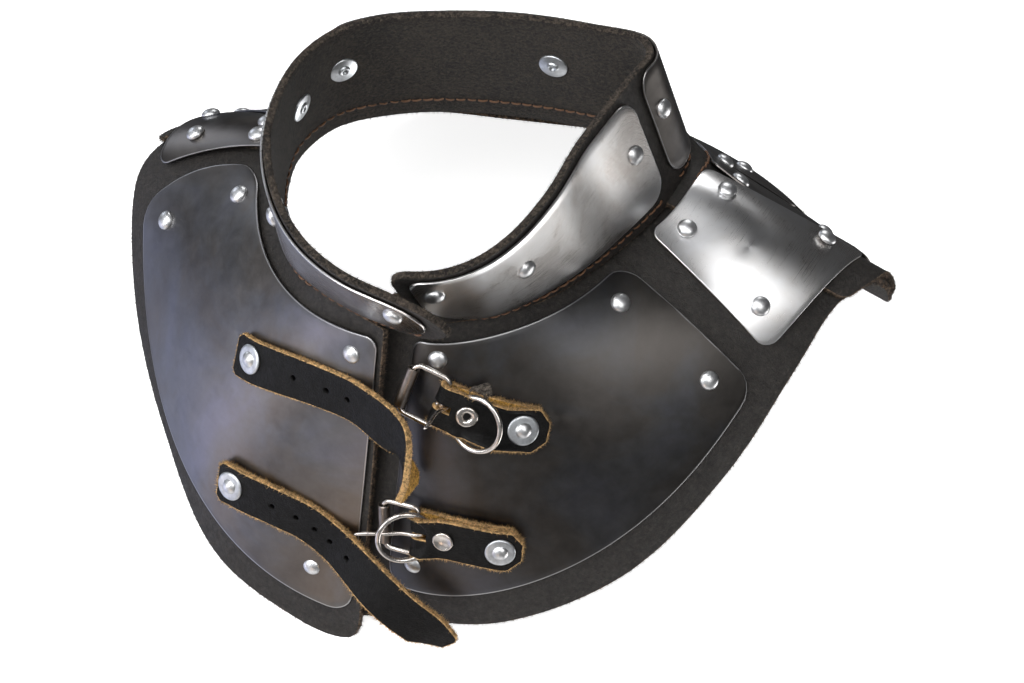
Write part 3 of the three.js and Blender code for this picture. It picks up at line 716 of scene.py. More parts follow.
def finishes():
    """All the materials, by name."""
    s = settings()
    hide, inner = tuple(s.hide_colour), tuple(s.suede_colour)
    tan, strap = tuple(s.edge_colour), tuple(s.strap_colour)
    metals = {
        "dark": ("burnished_steel", partial(burnished, 1.1, 0.33), 0.35),
        # darker copy of the burnished steel for the left flap plate, about half as bright: painted shade
        "shaded_burnished": ("deep_burnished_steel", partial(burnished, 0.53, 0.4), 0.35),
        "bright": ("brushed_steel", brushed, 0.5),
        "rivet": ("rivet_aluminium", partial(bright_metal, (0.88, 0.89, 0.9), 0.34, 0.44), 0.0),
        "washer": ("zinc_washer", partial(bright_metal, (0.74, 0.77, 0.8), 0.38, 0.48), 0.0),
        "nickel": ("worn_nickel", partial(bright_metal, (0.78, 0.73, 0.68), 0.18, 0.28), 0.0),
        "roller": ("dull_nickel", partial(bright_metal, (0.33, 0.29, 0.26), 0.26, 0.4), 0.0),
    }
    naps = {
        "rim": ("collar_cut_edge", scaled(hide, 0.8), (0.13, 0.1, 0.075), 1.3, 0.9),
        "hide_edge": ("hide_cut_edge", scaled(hide, 1.2), (0.24, 0.16, 0.1), 1.3, 0.9),
        "strap_back": ("strap_flesh_side", (0.35, 0.18, 0.03), (0.85, 0.48, 0.1), 1.0, 0.95),
        "tan_edge": ("strap_cut_edge", scaled(tan, 0.5), tan, 1.3, 0.9),
        "scrap": ("grey_suede", (0.05, 0.042, 0.035), (0.2, 0.17, 0.14), 1.2, 0.95),
        # near-black discs in the stitch holes stand in for the shade inside the holes: painted shade
        "hole": ("stitch_hole", (0.006, 0.005, 0.004), (0.02, 0.014, 0.01), 1.0, 0.95),
        "punched": ("hole_wall", (0.16, 0.11, 0.07), (0.6, 0.45, 0.3), 1.2, 0.95),
    }
    out = {key: material(name, build, Metallic=1.0, Anisotropic=grain)
           for key, (name, build, grain) in metals.items()}
    out |= {key: material(name, partial(suede, dark, light, nap), Roughness=rough)
            for key, (name, dark, light, nap, rough) in naps.items()}
    out["suede"] = material("hide_suede", partial(suede, inner, scaled(inner, 3.2), 1.0),
                            Roughness=0.95, Sheen_Weight=0.08)
    out["hide"] = material("hide_grain", partial(hide_face, scaled(hide, 0.75), hide, 0.58, 1.5, 1.0))
    out["strap"] = material("strap_grain", partial(hide_face, scaled(strap, 0.6), strap, 0.42, 1.1, 0.8),
                            Specular_IOR_Level=0.2)
    out["thread"] = material("waxed_thread", thread, Roughness=0.55)
    return out


# ---- repeats made with geometry nodes ---------------------------------------------


def new_group(name, inputs):
    group = bpy.data.node_groups.new(name, "GeometryNodeTree")
    group.interface.new_socket("Geometry", in_out="INPUT", socket_type="NodeSocketGeometry")
    for label, kind, default in inputs:
        socket = group.interface.new_socket(label, in_out="INPUT", socket_type=kind)
        if default is not None:
            socket.default_value = default
    group.interface.new_socket("Geometry", in_out="OUTPUT", socket_type="NodeSocketGeometry")
    t = Tree(group)
    return group, t, t.node("NodeGroupInput").outputs, t.node("NodeGroupOutput")


def set_inputs(mod, group, values):
    for item in group.interface.items_tree:
        if item.item_type == "SOCKET" and item.in_out == "INPUT" and item.name in values:
            mod[item.identifier] = values[item.name]


def stand_copies(t, given, end, points, shape, axes, spin, size):
    """Instances on points, turned by spin about their own axes, made real and given their finish."""
    local = t.out("FunctionNodeEulerToRotation", {0: spin})
    whole = t.out("FunctionNodeRotateRotation", {0: axes, 1: local}, rotation_space="LOCAL")
    copies = t.out("GeometryNodeInstanceOnPoints",
                   {"Points": points, "Instance": shape, "Rotation": whole, "Scale": size})
    real = t.out("GeometryNodeRealizeInstances", {0: copies})
    painted = t.out("GeometryNodeSetMaterial", {"Geometry": real, "Material": given["Finish"]})
    t.link(painted, end.inputs[0])


def on_points_group():
    """Stands a copy of an object on every point, along the point's stored normal."""
    group = bpy.data.node_groups.get("copies_on_points")
    if group:
        return group
    group, t, given, end = new_group("copies_on_points", [
        ("Copy", "NodeSocketObject", None), ("Size", "NodeSocketFloat", 1.0),
        ("Size spread", "NodeSocketFloat", 0.02), ("Lean", "NodeSocketFloat", 0.03),
        ("Turn", "NodeSocketFloat", 6.2832), ("Seed", "NodeSocketInt", 3),
        ("Finish", "NodeSocketMaterial", None),
    ])
    size, spread, lean, turn, seed = (given[k] for k in ("Size", "Size spread", "Lean", "Turn", "Seed"))
    back, unturn = (t.math("MULTIPLY", value, -1.0) for value in (lean, turn))
    points = t.out("GeometryNodeMeshToPoints", {"Mesh": given["Geometry"]})
    copy = t.out("GeometryNodeObjectInfo", {"Object": given["Copy"]}, "Geometry")
    axes = t.out("FunctionNodeAxesToRotation",
                 {"Primary Axis": t.stored("normal"), "Secondary Axis": t.stored("along")},
                 primary_axis="Z", secondary_axis="X")
    tipped = t.random_vector((back, back), (lean, lean), seed)
    spun = t.out("ShaderNodeCombineXYZ", {2: t.random(unturn, turn, seed)})
    spin = t.out("ShaderNodeVectorMath", {0: tipped, 1: spun}, operation="ADD")
    scale = t.random(t.math("SUBTRACT", size, spread), t.math("ADD", size, spread), seed)
    stand_copies(t, given, end, points, copy, axes, spin, scale)
    return group


def fibres_group():
    """Short loose fibres over the faces of the cut edge."""
    group = bpy.data.node_groups.get("edge_fibres")
    if group:
        return group
    group, t, given, end = new_group("edge_fibres", [
        ("Density", "NodeSocketFloat", 4.0e6), ("Length", "NodeSocketFloat", 0.0007),
        ("Thickness", "NodeSocketFloat", 0.00011), ("Edge index", "NodeSocketInt", 2),
        ("Lean", "NodeSocketFloat", 0.9), ("Seed", "NodeSocketInt", FIBRE_SEED),
        ("Finish", "NodeSocketMaterial", None),
    ])
    lean, seed = given["Lean"], given["Seed"]
    index = t.out("GeometryNodeInputMaterialIndex")
    chosen = t.out("FunctionNodeCompare", {2: index, 3: given["Edge index"]},
                   data_type="INT", operation="EQUAL")
    points = t.node("GeometryNodeDistributePointsOnFaces", {
        "Mesh": given["Geometry"], "Selection": chosen, "Density": given["Density"], "Seed": seed,
    })
    fibre = t.out("GeometryNodeMeshCone", {
        "Vertices": 3, "Radius Top": 0.0, "Radius Bottom": given["Thickness"], "Depth": given["Length"],
    }, fill_type="NONE")
    back = t.math("MULTIPLY", lean, -1.0)
    spin = t.random_vector((back, back, -3.0), (lean, lean, 3.0), seed)
    stand_copies(t, given, end, points.outputs["Points"], fibre, points.outputs["Rotation"], spin,
                 t.random(0.4, 1.3, seed))
    return group


def run_group(obj, group, values):
    mod = obj.modifiers.new("repeat", "NODES")
    mod.node_group = group
    set_inputs(mod, group, values)
    obj.update_tag()
    return settle(obj)


def copies_at(name, places, copy, finish_mat, **values):
    """Copies of an object (metres, z outward) on working-frame matrices."""
    mesh = bpy.data.meshes.new(name)
    spots = world(np.array([m[:3, 3] for m in places]))
    mesh.from_pydata([tuple(p) for p in spots], [], [])
    for label, axis in (("normal", 2), ("along", 0)):
        attr = mesh.attributes.new(label, "FLOAT_VECTOR", "POINT")
        ways = heading(np.array([m[:3, axis] for m in places]))
        attr.data.foreach_set("vector", ways.astype(np.float32).ravel())
    return run_group(shown(name, mesh), on_points_group(), {"Copy": copy, "Finish": finish_mat, **values})


def seed_object(name, verts, faces):
    """A copy's pattern in metres about its own origin."""
    return face_out(mesh_object(name, np.asarray(verts) * MM, faces))


def drop(*objects):
    for obj in objects:
        bpy.data.objects.remove(obj)


def join(name, objects):
    """One mesh object from several, keeping their finishes."""
    mats, verts, faces, index, uvs, near = [], [], [], [], [], []
    base = 0
    for obj in objects:
        mesh = obj.data
        slots = []
        for mat in mesh.materials:
            if mat not in mats:
                mats.append(mat)
            slots.append(mats.index(mat))
        verts += [tuple(v.co) for v in mesh.vertices]
        layer = mesh.uv_layers.get("Lay")
        attr = mesh.attributes.get("edge_mm")
        known = attr and attr.domain == "POINT"
        near += [a.value for a in attr.data] if known else [NO_EDGE] * len(mesh.vertices)
        for poly in mesh.polygons:
            faces.append(tuple(i + base for i in poly.vertices))
            index.append(slots[poly.material_index] if slots else 0)
            for loop in poly.loop_indices:
                uvs.append(tuple(layer.data[loop].uv) if layer else (0.0, 0.0))
        base += len(mesh.vertices)
    out = mesh_object(name, verts, faces, mats, index)
    layer = out.data.uv_layers.new(name="Lay")
    layer.data.foreach_set("uv", np.array(uvs, np.float32).ravel())
    number_attribute(out, "edge_mm", near)
    drop(*objects)
    return out


def fibres(obj, finish_mat, **values):
    """Fibres grown from the cut edge of a piece, as their own object."""
    fuzz = shown(obj.name + "_fibres", obj.data.copy())
    return run_group(fuzz, fibres_group(), {"Finish": finish_mat, **values})


# ---- settings ---------------------------------------------------------------------


def colour_setting(name, description, default):
    return bpy.props.FloatVectorProperty(name=name, description=description, subtype="COLOR",
                                         size=3, min=0, max=1, default=default)


class GorgetSettings(bpy.types.PropertyGroup):
    hide_colour: colour_setting("Hide", "Grain side of the collar and flap leather", (0.023, 0.019, 0.016))
    suede_colour: colour_setting("Suede", "Flesh side of the collar and flap leather", (0.014, 0.0105, 0.0075))
    strap_colour: colour_setting("Straps", "Grain side of the straps", (0.005, 0.0046, 0.0044))
    edge_colour: colour_setting("Strap edges", "Cut edges of the straps", (0.95, 0.6, 0.26))
    stitch_pitch: bpy.props.FloatProperty(
        name="Stitch spacing", description="Distance from one stitch to the next",
        default=0.0046, min=0.001, unit="LENGTH")
    fibre_length: bpy.props.FloatProperty(
        name="Fibre length", description="Length of the loose fibres on cut edges",
        default=0.0012, min=0.0, unit="LENGTH")
    fibre_density: bpy.props.FloatProperty(
        name="Fibre density", description="Fibres on a square metre of cut edge",
        default=3.0e6, min=0.0)
    dome_radius: bpy.props.FloatProperty(
        name="Rivet head", description="Radius of the domed rivet heads",
        default=0.004, min=0.001, unit="LENGTH")
    floor_radius: bpy.props.FloatProperty(
        name="Floor", description="Radius of the studio floor",
        default=14.0, min=1.0, unit="LENGTH")


def settings():
    return bpy.context.scene.gorget


# ---- leather ------------------------------------------------------------------------


def grounded(obj):
    """Hides rest their lowest edge on the floor."""
    for vert in obj.data.vertices:
        vert.co.z = max(vert.co.z, 0.0002)
    return obj


def neck_edge(u):
    """Where the hides reach in under the collar, further in where it stands off them."""
    shoulder = float(max(climb(u, 4.6, 5.6) - climb(u, 8.2, 8.8), 0))
    return -0.03 - 0.11 * shoulder - 0.08 * float(climb(u, 0.2, -0.1))


def with_fuzz(obj, fuzz_mat, seed, density, length=1.0, cutters=()):
    """Grow the fibres of the cut edge, then make the holes, then join both."""
    s = settings()
    fuzz = fibres(obj, fuzz_mat, Density=s.fibre_density * density, Length=s.fibre_length * length, Seed=seed)
    for cutter in cutters:
        cut_away(obj, cutter)
    return join(obj.name, [obj, fuzz])


def hide(name, sheet, grid, layer, radius, fuzz, edge, seed, density, node):
    """A piece of the heavy leather, layer being its lower and upper face over the sheet."""
    f = finishes()
    obj = shell(name, sheet, grid, *layer, [f["hide"], f["suede"], f[edge]],
                radius=radius, rows=3, fuzz=fuzz, seed=seed)
    return finish(with_fuzz(grounded(obj), f[edge], seed, density), [node])


class GORGET_OT_collar_leather(bpy.types.Operator):
    """Add the tall leather collar band with its overlapping ends"""
    bl_idname = "gorget.collar_leather"
    bl_label = "Collar leather"

    def execute(self, context):
        grid = patch_grid(collar, 0, 23, 0, 1, 150, 14, [7, 17, 5, 17])
        half = LEATHER / 2
        hide("collar_hide", collar, grid, (-half, half), 0.5, 0.12, "rim", 11, 0.8, "collar_leather")
        return {"FINISHED"}


class GORGET_OT_flap_leather(bpy.types.Operator):
    """Add the three hides of the mantle"""
    bl_idname = "gorget.flap_leather"
    bl_label = "Flap leather"

    def execute(self, context):
        sides = {
            "left": (mantle_tucked, 0.6, 7.27, 1.0, [1, 1, 12, 3]),
            "back": (mantle, 6.33, 13.75, 1.0, [1, 1, 3, 3]),
            "right": (mantle, 13.81, 20.0, lambda u: 1 + 0.02 * max(u - 18.5, 0), [1, 1, 3, 18]),
        }
        for k, (side, (sheet, u0, u1, v1, corners)) in enumerate(sides.items()):
            start = (lambda u: neck_edge(u - 1)) if side == "left" else neck_edge
            grid = patch_grid(sheet, u0, u1, start, v1, 72, 36, corners)
            hide(f"flap_hide_{side}", sheet, grid, (-LEATHER, 0.0), 0.5, 0.14, "hide_edge", 21 + k, 0.8,
                 f"flap_leather_{side}")
        return {"FINISHED"}


# ---- plates ------------------------------------------------------------------------


def plate(name, sheet, grid, lift, mat, nodes, seed=1, fair=0):
    """A steel plate on a sheet; fair > 0 evens it out to a curve of that order."""
    u, v = grid
    low = np.broadcast_to(np.asarray(lift, float), u.shape)
    outer, normal = sheet.at(u, v, low + STEEL), sheet.normal(u, v)
    if fair:
        powers = [(i, j) for i in range(fair + 1) for j in range(fair + 1 - i)]

        def terms(a, b):
            return np.stack([a**i * b**j for i, j in powers], -1)

        weights = np.linalg.lstsq(terms(u.ravel(), v.ravel()), outer.reshape(-1, 3), rcond=None)[0]
        step = 0.004
        outer = terms(u, v) @ weights
        across = terms(u + step, v) @ weights - terms(u - step, v) @ weights
        down = terms(u, v + step) @ weights - terms(u, v - step) @ weights
        slope = np.cross(across, down)
        normal = unit(slope) * np.sign((slope * normal).sum(-1, keepdims=True))
    obj = shell_grid(name, outer, normal, np.full(u.shape, STEEL), [mat], radius=0.32, rows=3, seed=seed)
    return finish(obj, nodes)


class GORGET_OT_collar_plates(bpy.types.Operator):
    """Add the three plates of the collar: brushed at the sides, and the back plate in the dark burnished finish,
    which paints it dark: painted shade
    """
    bl_idname = "gorget.collar_plates"
    bl_label = "Collar plates"

    def execute(self, context):
        f = finishes()
        sides = {
            "left": (0.35, 6.5, 0.05, 0.88, [5, 9, 16, 9]),
            "back": (6.95, 14.2, 0.02, 0.88, [9, 9, 9, 9]),
            "right": (14.7, 22.6, 0.07, 0.78, [9, 12, 9, 12]),
        }
        for k, (side, (u0, u1, v0, v1, corners)) in enumerate(sides.items()):
            grid = patch_grid(collar, u0, u1, v0, v1, 60, 12, corners)
            # the back plate takes the dark burnished finish and the side plates the bright brushed one; the dark
            # back plate is painted shade
            mat = f["dark" if side == "back" else "bright"]
            plate(f"collar_steel_{side}", collar, grid, COLLAR_SEAT, mat,
                  [f"collar_plate_{side}"], 31 + k)
        return {"FINISHED"}


FLAP_PLATES = {
    "left": ([[0.17, 0.03], [3.72, 0.03], [0.07, 0.88], [3.66, 0.86]], [4, 9, 9, 9]),
    "right": ([[15.6, 0.11], [19.95, 0.02], [16.32, 0.83], [19.93, 0.93]], [9, 5, 9, 9]),
    "back": ([[8.45, 0.1], [11.75, 0.1], [8.3, 0.86], [11.8, 0.86]], [9, 9, 9, 9]),
}


class GORGET_OT_flap_plates(bpy.types.Operator):
    """Add the large burnished plates of the mantle"""
    bl_idname = "gorget.flap_plates"
    bl_label = "Flap plates"

    def execute(self, context):
        f = finishes()
        for k, (side, (corners, radii)) in enumerate(FLAP_PLATES.items()):
            panel = Panel(mantle, corners)
            grid = patch_grid(panel, 0, 1, 0, 1, 56, 44, radii)
            # the left flap plate takes the darker copy of the burnished steel, which paints that plate darker:
            # painted shade
            mat = f["shaded_burnished"] if side == "left" else f["dark"]
            plate(f"flap_steel_{side}", panel, grid, SEAT, mat,
                  [f"flap_plate_{side}"], 41 + k, 4)
        return {"FINISHED"}


RIDES = {"left": (4.0, 4.95, 8.2, 7.3), "right": (12.0, 12.75, 15.95, 15.1)}


def ride(side, u):
    """How high a shoulder plate stands over its flap, raised where the strip runs under it."""
    rise, top, fall, end = RIDES[side]
    return 0.8 + 3.0 * np.minimum(climb(u, rise, top), climb(u, fall, end))


# front plate, rear plate, and the strip from one u to another
SHOULDERS = {
    "left": ([[4.42, 0.03], [6.2, 0.06], [3.98, 0.84], [6.2, 0.9]],
             [[6.36, 0.06], [8.0, 0.08], [6.36, 0.9], [8.0, 0.86]], (5.1, 7.2)),
    "right": ([[13.85, 0.08], [14.95, 0.05], [13.85, 0.86], [15.85, 0.8]],
              [[12.1, 0.08], [13.7, 0.08], [12.1, 0.86], [13.7, 0.88]], (12.85, 15.0)),
}


class GORGET_OT_shoulders(bpy.types.Operator):
    """Add the shoulder strips and the plates that ride on them"""
    bl_idname = "gorget.shoulders"
    bl_label = "Shoulders"

    def execute(self, context):
        f = finishes()
        for k, (side, (front, rear, strip)) in enumerate(SHOULDERS.items()):
            neck = -0.1 if side == "left" else 0.0
            grid = patch_grid(mantle, *strip, neck, 1.0, 34, 36, [2, 2, 4, 4])
            hide(f"shoulder_hide_{side}", mantle, grid, (SEAT, SEAT + STRIP), 0.4, 0.14, "hide_edge", 51 + k, 1.4,
                 f"shoulder_strip_{side}")
            for end, corners in (("front", front), ("rear", rear)):
                panel = Panel(mantle, corners)
                grid = patch_grid(panel, 0, 1, 0, 1, 26, 34, [4, 4, 7, 7])
                lift = ride(side, panel.spot(*grid)[0])
                # the choice of finish paints light and shade: the bright front left plate stands for a lit plate,
                # the dark ones for plates in shade
                mat = f["bright" if (end, side) == ("front", "left") else "dark"]
                plate(f"shoulder_steel_{end}_{side}", panel, grid, lift, mat,
                      [f"shoulder_plate_{end}_{side}"], 55 + k, 3)
        return {"FINISHED"}


# ---- rivets ------------------------------------------------------------------------

COLLAR_RIVETS = {
    "left_front": (0.75, 0.32), "left_mid": (2.94, 0.42), "left_rear": (6.03, 0.44),
    "back_left": (7.42, 0.37), "back_mid": (10.57, 0.42), "back_right": (13.87, 0.4),
    "right_rear": (15.02, 0.47), "right_mid": (18.2, 0.46), "right_front": (22.0, 0.36),
}
FLAP_RIVETS = {
    "left_neck": (0.6, 0.08), "left_shoulder": (3.16, 0.15),
    "left_side": (3.39, 0.67), "left_low": (0.32, 0.79),
    "right_neck": (19.7, 0.1), "right_shoulder": (16.35, 0.19),
    "right_side": (16.55, 0.65), "right_low": (19.66, 0.83),
}
BACK_RIVETS = [(8.8, 0.2), (11.4, 0.2), (8.75, 0.76), (11.4, 0.76)]
SHOULDER_RIVETS = {
    "left_inner": (4.8, 0.16), "left_outer": (4.39, 0.68), "left_ridge_inner": (5.87, 0.24),
    "left_ridge_outer": (5.95, 0.75), "right_inner": (14.72, 0.18), "right_outer": (15.06, 0.6),
    "right_ridge_inner": (14.12, 0.2), "right_ridge_outer": (14.12, 0.74),
}
REAR_RIVETS = [
    (6.66, 0.24), (7.6, 0.22), (6.66, 0.76), (7.6, 0.74),
    (12.4, 0.2), (13.42, 0.2), (12.4, 0.76), (13.42, 0.76),
]
WASHER_SPOTS = {
    "rivet_strap_upper": (18.71, 0.3, 5.3), "rivet_strap_lower": (19.0, 0.71, 5.3),
    "rivet_strap_buckle_upper": (1.47, 0.34, 7.6), "rivet_strap_buckle_lower": (1.12, 0.71, 7.6),
}


def ride_of(u):
    return float(ride("left" if u < 10 else "right", u))


def flipped(m, depth):
    """The same axis from the inner side, depth millimetres further in."""
    out = m.copy()
    out[:3, 3] = m[:3, 3] - m[:3, 2] * depth
    out[:3, 1:3] = -m[:3, 1:3]
    return out


def dome_profile(radius):
    steps, height = 9, radius * 0.62
    arc = [(radius * math.sin(a), height * math.cos(a)) for a in np.linspace(0, math.pi / 2, steps)]
    return arc + [(radius * 0.97, -0.5), (0.0, -0.5)]


BURR = [(0.0, 1.0), (0.9, 1.1), (1.1, 1.7), (1.8, 1.9), (2.3, 1.6), (2.5, 1.1),
        (2.8, 0.95), (5.7, 0.9), (6.1, 0.65), (6.1, -0.3), (0.0, -0.3)]
TAIL = [(0.0, 1.3), (1.2, 1.2), (1.6, 0.8), (3.2, 0.7), (3.6, 0.45), (3.6, -0.3), (0.0, -0.3)]
DISC = [(0.0, 0.75), (2.4, 0.75), (5.0, 0.85), (5.85, 0.7), (6.2, 0.35), (6.15, -0.2), (0.0, -0.2)]
STRAP_HEAD = [(0.0, 2.5), (0.9, 2.4), (1.8, 2.1), (2.6, 1.6), (3.1, 1.1), (3.3, 0.8), (3.3, 0.5), (0.0, 0.5)]


def rivets(name, profile, sides, places, mat, nodes=(), **values):
    """The same turned head on every place, as one piece."""
    copy = seed_object(f"{name}_pattern", *turned(profile, sides))
    heads = copies_at(name, places, copy, finishes()[mat], **values)
    drop(copy)
    finish(heads, list(nodes))


class GORGET_OT_dome_rivets(bpy.types.Operator):
    """Add the domed rivets of the plates and their inner ends"""
    bl_idname = "gorget.dome_rivets"
    bl_label = "Dome rivets"

    def execute(self, context):
        low = list(FLAP_RIVETS.values()) + BACK_RIVETS
        high = list(SHOULDER_RIVETS.values()) + REAR_RIVETS
        collar_spots = [frame_at(collar, u, v, COLLAR_SEAT + STEEL) for u, v in COLLAR_RIVETS.values()]
        flap_spots = [frame_at(mantle, u, v, SEAT + STEEL) for u, v in low]
        top_spots = [frame_at(mantle, u, v, ride_of(u) + STEEL + PROUD) for u, v in high]
        nodes = [f"rivet_collar_{n}" for n in COLLAR_RIVETS] + [f"rivet_flap_{n}" for n in FLAP_RIVETS]
        nodes += [f"rivet_shoulder_{n}" for n in SHOULDER_RIVETS]
        rivets("dome_heads", dome_profile(settings().dome_radius * METRE), 28,
               collar_spots + flap_spots + top_spots, "rivet", nodes, Seed=5)
        through = COLLAR_SEAT + STEEL + LEATHER / 2
        rivets("inner_washers", BURR, 32, [flipped(m, through) for m in collar_spots], "washer", Seed=6, Lean=0.05)
        through = SEAT + STEEL + LEATHER
        under = [flipped(m, through) for m in flap_spots]
        under += [flipped(m, through + ride_of(u) - (SEAT - PROUD)) for m, (u, _) in zip(top_spots, high)]
        rivets("inner_rivet_ends", TAIL, 24, under, "washer", Seed=7)
        return {"FINISHED"}


class GORGET_OT_washer_rivets(bpy.types.Operator):
    """Add the large washers and rivets that hold the straps"""
    bl_idname = "gorget.washer_rivets"
    bl_label = "Washer rivets"

    def execute(self, context):
        spots = [frame_at(mantle, *spot) for spot in WASHER_SPOTS.values()]
        rivets("strap_washers", DISC, 48, spots, "washer", Seed=8, Lean=0.05)
        rivets("strap_rivet_heads", STRAP_HEAD, 28, spots, "rivet", WASHER_SPOTS, Seed=9)
        return {"FINISHED"}


# ---- straps ------------------------------------------------------------------------


def on(u, v, lift):
    """Place and normal of a strap lying on the mantle."""
    u, v = np.float64(u), np.float64(v)
    return mantle.at(u, v, lift), mantle.normal(u, v)


def free(point, normal):
    """Place and normal of a strap hanging clear."""
    return np.array(point, float), unit(np.array(normal, float))


def belt(spots):
    """Sheet as wide as a strap along places and normals."""
    rows = [[], []]
    for i, (p, n) in enumerate(spots):
        ahead = spots[min(i + 1, len(spots) - 1)][0] - spots[max(i - 1, 0)][0]
        half = unit(np.cross(n, ahead)) * STRAP_W / 2
        rows[0].append(p + half)
        rows[1].append(p - half)
    return Sheet(rows)


STRAP_UPPER = [
    on(18.52, 0.33, 4), on(18.75, 0.3, 4), on(19.03, 0.265, 4), on(19.44, 0.24, 4), on(19.85, 0.24, 5),
    free([21, -43, -1], [-0.5, -0.75, 0.3]), free([26, -45, -14], [-0.8, -0.4, 0.1]),
    free([27, -45, -27], [-0.9, 0.1, 0]),
]
STRAP_LOWER = [
    on(18.88, 0.73, 4), on(19.1, 0.7, 4), on(19.37, 0.685, 4), on(19.6, 0.69, 4), on(19.82, 0.72, 4.5),
    free([18, -57, -76], [0.05, -0.9, 0.4]), free([29, -58, -83], [0.1, -0.9, 0.35]),
    free([39, -57, -90], [0.15, -0.9, 0.3]), free([44, -55, -99], [0.2, -0.9, 0.25]),
]


def arc_table(sheet):
    """Distance along the middle of a belt against u."""
    u = np.linspace(0, sheet.span, 400)
    return u, lengths(sheet.point(u, 0.5))


PUNCH = [(0, 4), (1.25, 4), (1.25, -4), (0, -4)]
LONG_STRAPS = [
    # name, places, corners, distances of the holes, length of the fuzz, seed
    ("strap_upper", STRAP_UPPER, [2, 3, 2, 3], (32, 48, 58), 0.7, 61),
    ("strap_lower", STRAP_LOWER, [2, 1.5, 2, 10], (27, 38, 47, 55, 65), 1.3, 62),
]


class GORGET_OT_long_straps(bpy.types.Operator):
    """Add the two long punched straps of the right flap"""
    bl_idname = "gorget.long_straps"
    bl_label = "Long straps"

    def execute(self, context):
        f = finishes()
        for name, spots, corners, holes, hairy, seed in LONG_STRAPS:
            sheet = belt(spots)
            grid = patch_grid(sheet, 0, sheet.span, 0, 1, 110, 12, corners, chamfer=True)
            strap = shell(f"{name}_leather", sheet, grid, -STRAP / 2, STRAP / 2,
                          [f["strap"], f["strap_back"], f["tan_edge"]], radius=0.35, rows=3, fuzz=0.1, seed=seed)
            us, arc = arc_table(sheet)
            spots = [frame_at(sheet, float(np.interp(hole, arc, us)), 0.5, 0) for hole in holes]
            punches = [solid_object("punch", [(*turned(PUNCH, 24), 0)], spot, [f["punched"]]) for spot in spots]
            whole = with_fuzz(strap, f["tan_edge"], seed, 1.6, hairy, punches)
            finish(whole, [name])
        return {"FINISHED"}


# ---- buckles -----------------------------------------------------------------------

WIRE_R, FRAME_W, FRAME_L, ROLLER_R, PRONG_R = 1.15, 22.6, 15.5, 2.5, 0.85
RING_R, RING_WIRE = 11.0, 1.1
LEVELS = {
    "upper": dict(
        spots=[on(0.72, 0.205, 7), on(0.95, 0.235, 6.5), on(1.2, 0.28, 5.7), on(1.47, 0.34, 5.1),
               on(1.68, 0.385, 5)],
        rivet=1.15, foot=-4.8, tilt=15, way=-1, prong=22.5, rise=90),
    "lower": dict(
        spots=[on(0.43, 0.645, 7), on(0.67, 0.652, 6.5), on(0.9, 0.674, 5.7), on(1.12, 0.71, 5.1),
               on(1.28, 0.735, 5)],
        rivet=1.0, foot=-5.8, tilt=34, way=1, prong=26.0, rise=28),
}


def buckle_axes(spots):
    """Axes of a buckle: x out along its strap, y along its bar."""
    (bar, z), (inner, _) = spots[:2]
    return axes_at(bar, z, bar - inner)


def about_y(points, degrees):
    p = np.asarray(points, float)
    c, s = math.cos(math.radians(degrees)), math.sin(math.radians(degrees))
    return np.stack([p[..., 0] * c + p[..., 2] * s, p[..., 1], -p[..., 0] * s + p[..., 2] * c], -1)


def ring_path(level, count=72):
    a = np.linspace(0, 2 * math.pi, count, endpoint=False)
    circle = np.stack([RING_R * np.cos(a) + RING_R * level["way"], RING_R * np.sin(a), np.zeros(count)], -1)
    return about_y(circle, -level["tilt"] * level["way"]) + np.array([level["foot"], 0, 0])


def folded_strap(name, level, mats, seed):
    """The short strap: one length of leather folded round the buckle bar."""
    spots = level["spots"]
    sheet = belt(spots)
    place = buckle_axes(spots)
    us, arc = arc_table(sheet)
    reach = arc[-1]
    steps = 16
    y = np.linspace(-STRAP_W / 2, STRAP_W / 2, steps + 1)
    ring = ring_path(level, 144)

    def clearance(s):
        """Lowest height of the upper layer over the ring, for each y."""
        out = np.full(len(y), 0.35 + 0.95 * (1 - float(climb(s, 4, 15))))
        for k, side in enumerate(y):
            near = ring[np.abs(ring[:, 1] - side) < 0.5]
            near = near[near[:, 2] < 5.0]
            for px, _, pz in near:
                out[k] = max(out[k], pz + 1.35 - 0.45 * max(abs(px + s) - 0.5, 0))
        return out

    def layer(s, top):
        u = float(np.interp(s, arc, us))
        inset = max(5.0 - (reach - s), 0) / STRAP_W
        v = np.linspace(inset, 1 - inset, steps + 1)
        n = sheet.normal(u, v)
        point = sheet.point(u, v)
        if top:
            return point + n * (clearance(s)[:, None] + FOLD), n
        low = 0.35 + 0.95 * (1 - float(climb(s, 3, 13)))
        return point - n * (low + FOLD), -n

    run = list(np.linspace(reach, 0.0, 46))
    layers = [layer(s, False) for s in run]
    origin = sheet.point(0.0, np.linspace(0, 1, steps + 1))
    lift = clearance(0.0)
    for a in np.linspace(-math.pi / 2, math.pi / 2, 15)[1:-1]:
        swell = 1.3 + np.where(a > 0, (lift - 1.3) * math.sin(a) ** 2, 0)
        radial = place[:3, 0] * math.cos(a) + place[:3, 2] * math.sin(a)
        layers.append((origin + radial * (swell[:, None] + FOLD), np.tile(radial, (steps + 1, 1))))
    layers += [layer(s, True) for s in reversed(run)]
    outer, normal = (np.array(part) for part in zip(*layers))
    strap = shell_grid(name, outer, normal, FOLD, mats, radius=0.35, rows=3, fuzz=0.08, seed=seed)
    return strap, place, sheet


def box_cutter(size, centre, matrix, mats):
    signs = np.array([(x, y, z) for x in (-1, 1) for y in (-1, 1) for z in (-1, 1)])
    verts = signs * (np.array(size) / 2) + np.array(centre)
    faces = [(0, 1, 3, 2), (4, 6, 7, 5), (0, 4, 5, 1), (2, 3, 7, 6), (0, 2, 6, 4), (1, 5, 7, 3)]
    return solid_object("cutter", [(verts, faces, 0)], matrix, mats)


